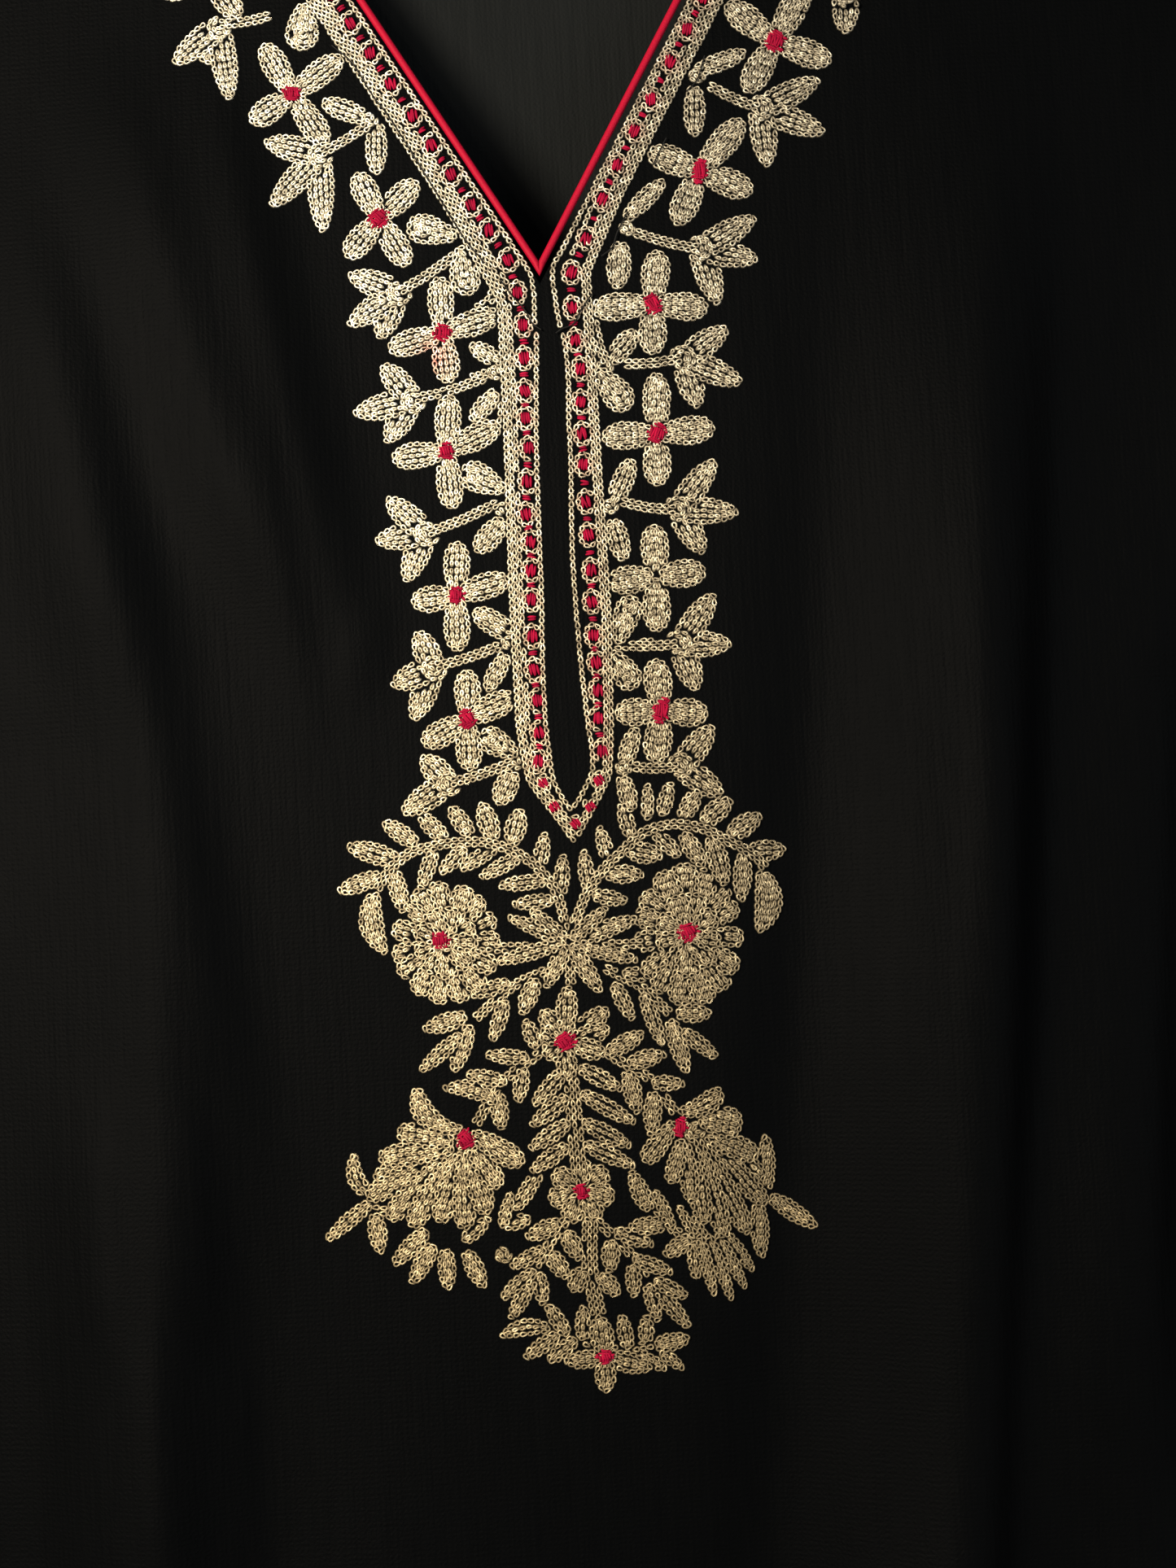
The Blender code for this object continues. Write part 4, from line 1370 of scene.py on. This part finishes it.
# The row beside the opening: how far off the V it starts, where it lies from the bottom of the V to the top
# of the slit, and where from there down to the point
INNER_OFF_LEFT, INNER_OFF_RIGHT = 0.8, 1.6
INNER_LEFT_TOP = ((-3.2, -3.4), (-2.6, 1.0), (-2.3, 5.0), (-2.5, 10.0), (-2.7, 14.6))
INNER_LEFT = (
    (-2.2, 17.6), (-2.5, 24.0), (-3.1, 34.0), (-4.6, 63.0), (-5.1, 86.0), (-5.4, 107.0),
    (-6.3, 129.0), (-6.7, 152.0), (-6.1, 164.0), (-5.3, 174.6), (-3.5, 180.0), (0.6, 187.0),
)
INNER_RIGHT_TOP = ((5.3, -6.6), (4.7, -1.5), (4.9, 3.0), (5.6, 10.0), (6.4, 16.2))
INNER_RIGHT = (
    (7.1, 18.4), (7.9, 26.0), (8.2, 36.0), (7.6, 46.0), (7.4, 64.0), (6.7, 81.0), (6.1, 102.0),
    (6.5, 124.0), (7.4, 144.0), (8.5, 160.0), (9.2, 168.0), (8.6, 174.0), (5.6, 180.2), (1.6, 186.0),
)


def inner_rows(side):
    """The row beside the opening: it stops at the top of the slit and starts again a little further out."""
    off = INNER_OFF_LEFT if side < 0 else INNER_OFF_RIGHT
    down_v = [beside_v(along, off) for along in np.linspace(BORDER_TOP, 12.0, 16)]
    upper = [(side * u, v) for u, v in down_v] + list(INNER_LEFT_TOP if side < 0 else INNER_RIGHT_TOP)
    lower = INNER_LEFT if side < 0 else INNER_RIGHT
    return [border_row(smooth_line(upper)), border_row(smooth_line(lower))]


# Red dots: how far up the V they lie, and their u and v beside the slit
V_DOTS_LEFT = (169, 156.5, 143.5, 130, 117, 103.7, 90.1, 76, 63.1, 50.2, 37, 25.8, 13)
V_DOTS_RIGHT = (171.5, 158.5, 145.5, 132.5, 119.5, 106.5, 93, 77.5, 64.5, 50.5, 37, 21.8, 8.4)
SLIT_DOTS_LEFT = (
    (-8.1, 3.0), (-6.7, 14.8), (-7.0, 26.6), (-7.4, 38.4), (-7.7, 48.0), (-7.2, 58.8), (-8.4, 70.7),
    (-9.3, 82.2), (-8.3, 92.0), (-8.7, 102.1), (-9.2, 112.5), (-9.5, 125.4), (-9.7, 137.2),
    (-8.9, 148.1), (-9.0, 159.5), (-9.9, 169.2),
)
SLIT_DOTS_RIGHT = (
    (10.9, 9.5), (11.4, 21.2), (12.6, 31.6), (12.2, 43.4), (11.9, 54.7), (11.8, 65.6), (11.9, 79.0),
    (12.1, 90.8), (12.4, 103.3), (12.0, 114.4), (11.9, 126.3), (12.3, 135.9), (12.3, 145.7),
    (11.9, 155.5), (12.7, 167.0),
)
# Below the slit
END_DOTS = ((-8.6, 177.2), (-5.2, 185.6), (1.8, 192.0), (10.9, 177.2), (7.4, 186.2))
# How far off the V the dots lie, and how much further, over what stretch, those low on the right do
DOTS_OFF_LEFT, DOTS_OFF_RIGHT = 4.9, 5.2
DOTS_FURTHER, DOTS_FURTHER_BY = 3.3, 60.0


def dots_on(side):
    """Where the red dots of one side lie, from the shoulder down to the end of the slit: those beside the V,
    and those beside the slit."""
    if side < 0:
        on_v = [beside_v(along, DOTS_OFF_LEFT) for along in V_DOTS_LEFT]
    else:
        further = [DOTS_FURTHER * ease(1.0 - along / DOTS_FURTHER_BY) for along in V_DOTS_RIGHT]
        on_v = [beside_v(along, DOTS_OFF_RIGHT + more) for along, more in zip(V_DOTS_RIGHT, further)]
    on_slit = SLIT_DOTS_LEFT if side < 0 else SLIT_DOTS_RIGHT
    return [(side * float(u), float(v)) for u, v in on_v], list(on_slit)


OUTER_ROWS_LEFT = (
    # off the V, off the slit, and where the row's point lies
    (13.5, 15.0, 195.6),
    (15.3, 16.7, 198.2),
)
OUTER_ROWS_RIGHT = ((12.1, 13.6, 195.6), (13.9, 15.5, 198.2))
# The left's third row, in the same form, and the rows beside the V alone: off it, and how far up from its
# bottom they end
THIRD_ROW_LEFT = (11.7, 13.2, 193.0)
V_ROWS_LEFT = ((9.9, 6.0),)
V_ROWS_RIGHT = ((5.9, 14.0), (10.0, 20.0))
# A place beside the top of the slit that has taken up dye too
DYED = (-4.0, 18.0)


def border(name, side, seed):
    patches = inner_rows(side)
    for off_v, off_slit, tip in OUTER_ROWS_LEFT if side < 0 else OUTER_ROWS_RIGHT:
        patches.append(border_row(border_line(off_v, off_slit, tip, side)))
    on_v, on_slit = dots_on(side)
    for place in on_v:
        patches += ring(place, V_RING_LEFT if side < 0 else V_RING_RIGHT, RING_TALL, BORDER_LIFT)
    for place in on_slit:
        patches += ring(place, SLIT_RING, RING_TALL, BORDER_LIFT)
    dyed = on_v + on_slit
    if side > 0:
        patches += [border_row(v_row(side, off_v, low)) for off_v, low in V_ROWS_RIGHT]
        for place in END_DOTS:
            patches += ring(place, *END_RING, BORDER_LIFT)
    else:
        patches.append(border_row(border_line(*THIRD_ROW_LEFT, side)))
        patches += [border_row(v_row(side, off_v, low)) for off_v, low in V_ROWS_LEFT]
        dyed.append(DYED)
    made = chains(name, patches, seed, 0.46)
    blush(made, dyed, 3.4, 0.13)
    return made


KNOTS = (
    # centre, width and height, and which way its threads lie, in degrees
    (-84, -67, 7.0, 5.0, 10.0),
    (-56, -22, 8.0, 6.0, -35.0),
    (-36, 19.5, 6.5, 6.0, 20.0),
    (-37, 61, 6.0, 5.5, 0.0),
    (-36.5, 111.5, 6.0, 5.5, 15.0),
    (-35, 155, 6.0, 6.5, -20.0),
    (86, -76, 8.0, 7.0, 30.0),
    (57, -32, 5.5, 9.0, 10.0),
    (38, 13.5, 6.0, 7.5, -20.0),
    (37, 59, 6.5, 7.0, 30.0),
    (33, 156, 5.5, 9.0, 20.0),
    (-49, 232, 6.5, 5.5, 10.0),
    (38, 234, 7.5, 6.0, -15.0),
    (-7, 270, 7.5, 6.0, -25.0),
    (-4.5, 322.5, 5.0, 5.0, 0.0),
    (-44, 302, 7.0, 6.0, -30.0),
    (31.5, 302, 4.5, 6.5, 20.0),
    (0.5, 381, 5.5, 4.5, 0.0),
)
STRAND = 0.85
# The dots and the bars between them, width and height, and how far above the cloth bars, dots, the two layers
# of a knot and its frayed ends start. A bar lies between two dots that are nearer than BAR_SPAN.
V_DOT, SLIT_DOT, END_DOT, BAR = (5.2, 3.8), (4.9, 3.7), (4.2, 3.7), (3.4, 1.5)
BAR_LIFT, DOT_LIFT, KNOT_LIFT, KNOT_TOP_LIFT, FRAY_LIFT = 0.25, 0.45, 0.55, 1.0, 0.6
BAR_SPAN = 16.0


def laid_patch(u, v, wide, tall, degrees, lift, chance):
    """Threads laid side by side over an oval: a row each of u, v, heading, length, lift."""
    turn = math.radians(degrees)
    count = max(round(tall / STRAND), 2)
    threads = []
    for strand in range(count):
        off = (strand - (count - 1) / 2) * STRAND
        long = wide * math.sqrt(max(1.0 - (2.0 * off / (tall + STRAND)) ** 2, 0.08))
        u_off, v_off = -off * math.sin(turn), off * math.cos(turn)
        threads.append(
            (
                u + u_off + chance.normal(0.0, 0.12),
                v + v_off + chance.normal(0.0, 0.12),
                turn + chance.normal(0.0, 0.10),
                long * chance.uniform(0.9, 1.08),
                lift + chance.uniform(0.0, 0.15),
            )
        )
    return threads


def frayed_ends(u, v, wide, tall, degrees, chance):
    """A few short threads that stand out round a knot's edge."""
    turn = math.radians(degrees)
    threads = []
    for _ in range(7):
        way = chance.uniform(0.0, math.tau)
        out_u, out_v = wide * 0.50 * math.cos(way), tall * 0.50 * math.sin(way)
        place_u = u + out_u * math.cos(turn) - out_v * math.sin(turn)
        place_v = v + out_u * math.sin(turn) + out_v * math.cos(turn)
        heading = way + turn + chance.normal(0.0, 0.5)
        threads.append((place_u, place_v, heading, chance.uniform(1.0, 2.2), FRAY_LIFT))
    return threads


def red_dots():
    chance = np.random.default_rng(41)
    threads = []
    knots = np.array(KNOTS, float)
    knots[:, :2] = on_cloth(knots[:, :2])
    for u, v, wide, tall, degrees in knots:
        threads += laid_patch(u, v, wide * 1.04, tall * 1.04, degrees, KNOT_LIFT, chance)
        threads += laid_patch(u, v, tall * 0.75, wide * 0.72, degrees + 78.0, KNOT_TOP_LIFT, chance)
        threads += frayed_ends(u, v, wide, tall, degrees, chance)
    for side in (-1.0, 1.0):
        on_v, on_slit = dots_on(side)
        for u, v in on_v:
            degrees = 90.0 + side * 14.0 + chance.uniform(-12, 12)
            threads += laid_patch(u, v, *V_DOT, degrees, DOT_LIFT, chance)
        for u, v in on_slit:
            threads += laid_patch(u, v, *SLIT_DOT, 90.0 + chance.uniform(-15, 15), DOT_LIFT, chance)
        places = on_v + on_slit
        for (u, v), (next_u, next_v) in zip(places, places[1:]):
            if math.hypot(next_u - u, next_v - v) < BAR_SPAN:
                degrees = math.degrees(math.atan2(next_v - v, next_u - u)) + 90.0
                threads += laid_patch((u + next_u) / 2, (v + next_v) / 2, *BAR, degrees, BAR_LIFT, chance)
    for u, v in END_DOTS:
        threads += laid_patch(u, v, *END_DOT, 60.0, DOT_LIFT, chance)
    u, v, heading, long, lift = np.array(threads).T
    sizes = np.stack([long, np.full(len(u), 1.15), np.full(len(u), 0.9)], axis=1)
    tone = np.clip(chance.normal(0.5, 0.22, len(u)), 0.0, 1.0)
    frames = front_frames(u, v, heading)
    return repeated("red_knots", *LAID_THREAD, frames, sizes, lift, tone, "red", "red_thread")


border_left = border("border_left", -1.0, 11)
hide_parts("neck_border")
border_right = border("border_right", 1.0, 12)
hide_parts("neck_border")
vine_left = embroidery(
    "vine_left",
    vine(
        CROSS_FLOWERS_LEFT,
        SPRIGS_LEFT,
        SIDE_LEAVES_LEFT,
        DROPS_LEFT,
        NODES_LEFT,
        BRANCHES_LEFT,
        flower_wide=9.8,
    ),
    seed=13,
    warmth=0.45,
)
blush(vine_left, [(-39.0, 24.0)], 5.5, 0.30)
embroidery(
    "vine_right",
    vine(
        CROSS_FLOWERS_RIGHT,
        SPRIGS_RIGHT,
        SIDE_LEAVES_RIGHT,
        DROPS_RIGHT,
        NODES_RIGHT,
        BRANCHES_RIGHT,
        flower_wide=10.4,
    ),
    seed=14,
    warmth=0.45,
)
embroidery(
    "garlands",
    stem(GARLAND_STEM_LEFT)
    + stem(GARLAND_STEM_RIGHT)
    + leaves(GARLAND_LEAVES_LEFT)
    + leaves(GARLAND_LEAVES_RIGHT)
    + starburst(),
    seed=15,
    warmth=0.45,
)
embroidery(
    "round_flowers",
    round_flower((-47, 233), 19.5, 22.0, 15, 3) + round_flower((38, 235), 19.5, 25.5, 15, 4),
    seed=16,
    warmth=0.46,
)
embroidery(
    "middle_sprays",
    petals_round((-7, 270), MIDDLE_FLOWER_TIPS, 8.0, 2.0, widest=0.58, foot=0.4)
    + leaves(UPPER_SPRAY_LEAVES)
    + leaves(SIDE_SPRAY_LEAVES)
    + leaves(HERRINGBONE)
    + stem([(-8, 243), (-25, 250), (-38, 260)])
    + stem([(8, 245), (20, 252), (30, 262)])
    + stem([(-14, 272), (-30, 283), (-40, 297)])
    + stem([(5, 273), (12, 278), (22, 285), (30, 297)])
    + stem([(-6, 278), (-5, 315)], 3, 0.15)
    + small_flower(),
    seed=17,
    warmth=0.46,
)
embroidery(
    "blossoms",
    leaves(BLOSSOM_PETALS_LEFT, widest=0.66, foot=0.35, point=0.4)
    + leaves(BLOSSOM_PETALS_RIGHT, widest=0.66, foot=0.35, point=0.4)
    + leaves(BLOSSOM_LEAVES)
    + coil((-33, 343), 4.0)
    + coil((-46, 304), 7.5)
    + coil((37, 303), 7.5)
    + stem([(20, 332), (30, 340), (37, 345)])
    + stem([(-78, 324), (-70, 325)], 3),
    seed=18,
    warmth=0.47,
)
embroidery(
    "lower_sprays",
    leaves(LOWER_SPRAY_LEAVES)
    + leaves(BOTTOM_LEAVES)
    + stem([(-2, 333), (-3, 350), (-1, 366)], 3)
    + stem([(-8, 331), (-12, 334), (-17, 341), (-22, 348)])
    + stem([(0, 333), (5, 338), (12, 346), (18, 353)])
    + stem([(-5, 378), (-14, 372), (-22, 368)])
    + stem([(3, 379), (12, 378), (20, 377)]),
    seed=19,
    warmth=0.47,
)
red_dots()


# Piping, hanger and hook


# The piping follows a panel's depth up to this far below the shoulder's ridge
RIDGE_ROOM = 0.004
NECK_FRONT_STEPS, NECK_BACK_STEPS = 44, 36


def against(surface_y, x, z):
    """How deep a panel lies at x and z, or just below the shoulder's ridge where z is higher."""
    return float(surface_y(x, min(z, shoulder_line(x) - RIDGE_ROOM)))


def neck_loop():
    """The piping's middle: down the right of the V, up its left, and back round behind the neck."""
    off = PIPING_RADIUS + SEAM + WALL / 4
    rise = off * V_RUN / NECK_HALF
    over_hanger = PIPING_RADIUS + 2 * SEAM
    right_front = []
    for step in range(NECK_FRONT_STEPS):
        x = NECK_HALF * (1.0 - step / NECK_FRONT_STEPS)
        z = float(v_edge_z(x)) + rise
        if z > NECK_Z - SHOULDER_ROLL:
            z = min(z, NECK_Z + WALL)
        right_front.append((x - off / 2, against(front_y, x, z), z))
    bottom = (0.0, float(front_y(0.0, V_BOTTOM_Z)), V_BOTTOM_Z + rise)
    left_front = [(-x, against(front_y, -x, z), z) for x, _, z in reversed(right_front)]
    behind = []
    for step in range(1, NECK_BACK_STEPS):
        x = -NECK_HALF + 2.0 * NECK_HALF * step / NECK_BACK_STEPS
        z = float(scoop_edge_z(x)) + off
        behind.append((x, against(back_y, x, z), z))
    crossing_z = float(hanger_top(NECK_HALF - off)) + over_hanger
    return [
        *right_front,
        bottom,
        *left_front,
        (-NECK_HALF + off, 0.0, crossing_z),
        *behind,
        (NECK_HALF - off, 0.0, crossing_z),
    ]


def seam_cord(name, side):
    """The rolled seam between a sleeve and the body, round the armhole."""
    angle = np.linspace(0.0, math.tau, 120, endpoint=False)
    x, y, z = sleeve_place(side, angle, np.zeros(len(angle)))
    points = np.stack([x - side * ARMHOLE_GAP / 2, y, z], axis=1)
    return tube(name, points.tolist(), ARMHOLE_GAP * 0.85, "sewing", True)


def side_seam(name, side):
    """The rolled seam that joins front and back, from the underarm to the hem."""
    z = np.linspace(UNDERARM_Z, HEM_Z + HEM_SIDE_LIFT, 120)
    points = np.stack([side * half_width(z), np.zeros(len(z)), z], axis=1)
    return tube(name, points.tolist(), SEAM_TO_MIDDLE + SEAM, "sewing", False)


def shoulder_seam(name, side):
    """The rolled seam along the top of a shoulder."""
    x = np.linspace(NECK_HALF + 0.002, SHOULDER_HALF, 40)
    points = np.stack([side * x, np.zeros(len(x)), shoulder_line(x)], axis=1)
    return tube(name, points.tolist(), SEAM_TO_MIDDLE + SEAM, "sewing", False)


# The small stitches of hem and cuffs: length, width and height in millimetres, how many there are, how far
# above the hem they lie, how much of its width they cover, and where along the sleeve the cuff's row lies
SMALL_STITCH = (2.1, 0.75, 0.7)
HEM_STITCHES, CUFF_STITCHES = 270, 150
HEM_TURN, HEM_COVERED = 0.016, 0.985
CUFF_ROW = 0.972


def small_stitches(name, frames):
    count = len(frames[0])
    sizes = np.tile(SMALL_STITCH, (count, 1))
    lift, tone = np.zeros(count), np.full(count, 0.5)
    return repeated(name, *SMALL_THREAD, frames, sizes, lift, tone, "sewing", "black_cloth")


def hem_stitches(name, surface_y, outwards):
    """A row of small stitches along a panel's hem."""
    share = np.linspace(-HEM_COVERED, HEM_COVERED, HEM_STITCHES)
    z = HEM_Z + HEM_SIDE_LIFT * share * share + HEM_TURN
    u, v = share * half_width(z) / MM, (V_BOTTOM_Z - z) / MM
    return small_stitches(name, front_frames(u, v, np.zeros(len(u)), surface_y, outwards))


def cuff_stitches(name, side):
    """A row of small stitches round a cuff."""
    start, step = 0.06, 0.002
    angle = np.linspace(start, math.tau + start, CUFF_STITCHES, endpoint=False)
    along = np.full(CUFF_STITCHES, CUFF_ROW)
    place = np.stack(sleeve_place(side, angle, along), axis=1)
    round_it = np.stack(sleeve_place(side, angle + step, along), axis=1) - place
    down_it = np.stack(sleeve_place(side, angle, along + step), axis=1) - place
    run = round_it / np.linalg.norm(round_it, axis=1)[:, None]
    away = np.cross(run, down_it)
    away *= np.sign(away[:, 1] * place[:, 1])[:, None] / np.linalg.norm(away, axis=1)[:, None]
    return small_stitches(name, (place + away * (WALL / 2), run, np.cross(away, run), away))


# Where a dark basting thread still lies over the embroidery, and its loose ends at the top of the slit
BASTING = (
    ((-69, -83), (-62, -76), (-56, -65), (-50, -56), (-40, -38), (-30, -19), (-26, -12), (-20, -4)),
    ((-15, 2), (-11, 8), (-7, 13), (-4.5, 18), (-1.5, 20.5)),
    ((61, -72), (58, -64), (54, -60)),
    ((46, -44), (43, -39), (41, -35)),
    ((31, -19), (27, -12), (25, -7), (21, -4)),
    ((17, 9), (13, 14), (10, 19), (6, 20.5), (3.5, 22)),
)


BASTING_RADIUS, BASTING_LIFT = 0.24, 1.35


def basting_thread(name, points):
    u, v = on_cloth(smooth_line(points, 6)).T
    place, _, _, away = front_frames(u, v, np.zeros(len(u)))
    place = place + away * BASTING_LIFT * MM
    return tube(name, place.tolist(), BASTING_RADIUS * MM, "sewing", False)


def tube(name, points, radius, look, closed):
    curve = bpy.data.curves.new(name, "CURVE")
    curve.dimensions = "3D"
    curve.bevel_depth = radius
    curve.bevel_resolution = 4
    curve.use_fill_caps = not closed
    spline = curve.splines.new("POLY")
    spline.points.add(len(points) - 1)
    for place, point in zip(spline.points, points):
        place.co = (*point, 1.0)
    spline.use_cyclic_u = closed
    spline.use_smooth = True
    return piece(name, curve, look)


def hook_line():
    """The wire's middle line, from the tip over the top and down to the hanger's crown."""
    radius = HOOK_INNER_RADIUS + HOOK_WIRE / 2
    bend = HOOK_TURN_DEGREES - HOOK_MOUTH_DEGREES
    points = []
    for step in range(HOOK_BEND_STEPS + 1):
        angle = math.radians(HOOK_MOUTH_DEGREES + bend * step / HOOK_BEND_STEPS)
        points.append((radius * math.cos(angle), 0.0, -HOOK_INNER_RADIUS + radius * math.sin(angle)))
    last_x, _, last_z = points[-1]
    for step in range(1, SHANK_STEPS + 1):
        share = step / SHANK_STEPS
        points.append((pulled(last_x, 0.0, 0.0, share), 0.0, pulled(last_z, SHANK_PULL_Z, SHANK_Z, share)))
    points.append((0.0, 0.0, HANGER_CROWN_Z + SEAM))
    return points


def hanger():
    bm, column, row = grid(HANGER_AROUND, HANGER_STATIONS)
    angle = 2.0 * math.pi * column / HANGER_AROUND
    x = -HANGER_HALF * np.cos(math.pi * row / HANGER_STATIONS)
    share = np.abs(x) / HANGER_HALF
    size = np.maximum(quarter_round((1.0 - share) / HANGER_TIP_ROUND), HANGER_TIP_LEFT)
    tall = HANGER_TALL_MIDDLE + (HANGER_TALL_TIP - HANGER_TALL_MIDDLE) * share
    y = HANGER_THICK / 2 * size * np.sin(angle)
    z = hanger_top(x) - tall / 2 + tall / 2 * size * np.cos(angle)
    lay(bm, x, y, z, x, z)
    bmesh.ops.remove_doubles(bm, verts=bm.verts, dist=1e-6)
    bmesh.ops.holes_fill(bm, edges=[edge for edge in bm.edges if edge.is_boundary], sides=0)
    bmesh.ops.recalc_face_normals(bm, faces=bm.faces)
    return piece("hanger_wood", mesh_of("hanger_wood", bm), "wood")


seam_cord("armhole_seam_right", 1.0)
seam_cord("armhole_seam_left", -1.0)
side_seam("side_seam_right", 1.0)
side_seam("side_seam_left", -1.0)
shoulder_seam("shoulder_seam_right", 1.0)
shoulder_seam("shoulder_seam_left", -1.0)
hem_stitches("front_hem_stitches", front_y, -1.0)
hem_stitches("back_hem_stitches", back_y, 1.0)
cuff_stitches("cuff_stitches_right", 1.0)
cuff_stitches("cuff_stitches_left", -1.0)
for number, points in enumerate(BASTING):
    basting_thread(f"basting_thread_{number + 1}", points)
piping = tube("piping_cord", neck_loop(), PIPING_RADIUS, "piping", True)
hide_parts("neck_piping")
wood = hanger()
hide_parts("hanger_body")
hook = tube("hook_wire", hook_line(), HOOK_WIRE / 2, "steel", False)
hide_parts("hanger_hook")

# Floor, lights and camera

FLOOR_HALF, FLOOR_BELOW_HEM = 6.0, 0.10
CAMERA_TILT_DEGREES = 3.24


def plain_floor():
    look, _, _, shader = shader_of("pale_floor")
    shader.inputs["Base Color"].default_value = (0.50, 0.49, 0.475, 1.0)
    shader.inputs["Roughness"].default_value = 0.8
    bm = bmesh.new()
    bmesh.ops.create_grid(bm, x_segments=1, y_segments=1, size=FLOOR_HALF)
    bmesh.ops.translate(bm, verts=bm.verts, vec=(0.0, 0.0, HEM_Z - FLOOR_BELOW_HEM))
    mesh = mesh_of("floor", bm)
    mesh.materials.append(look)
    floor = in_scene("floor", mesh)


def area_light(name, place, aim, size, watts, colour):
    data = bpy.data.lights.new(name, "AREA")
    data.shape = "DISK"
    data.size = size
    data.energy = watts
    data.color = colour
    light = in_scene(name, data)
    light.location = place
    light.rotation_euler = (Vector(aim) - Vector(place)).to_track_quat("-Z", "Y").to_euler()


def studio():
    world = bpy.data.worlds.new("studio")
    world.use_nodes = True
    ground = world.node_tree.nodes["Background"]
    ground.inputs["Color"].default_value = (0.90, 0.92, 1.0, 1.0)
    ground.inputs["Strength"].default_value = 0.20
    bpy.context.scene.world = world
    area_light("key", (-0.62, -0.95, -0.15), (-0.04, 0.0, -0.41), 0.35, 36.0, (1.0, 0.88, 0.72))
    area_light("fill", (1.5, -1.6, -0.2), (0.0, 0.0, -0.6), 1.2, 20.0, (0.92, 0.95, 1.0))
    area_light("behind", (0.8, 1.7, 0.2), (0.0, 0.0, -0.7), 1.0, 62.0, (1.0, 0.96, 0.90))


def camera():
    data = bpy.data.cameras.new("camera")
    data.lens = 50.0
    data.sensor_width = 36.0
    shot = in_scene("camera", data)
    tilt = math.radians(CAMERA_TILT_DEGREES)
    right = Vector((math.cos(tilt), 0.0, -math.sin(tilt)))
    up = Vector((math.sin(tilt), 0.0, math.cos(tilt)))
    turn = Matrix((right, up, right.cross(up))).transposed()
    shot.matrix_world = Matrix.LocRotScale(Vector(EYE), turn, None)
    bpy.context.scene.camera = shot


plain_floor()
studio()
camera()
bpy.context.scene.view_settings.view_transform = "Standard"
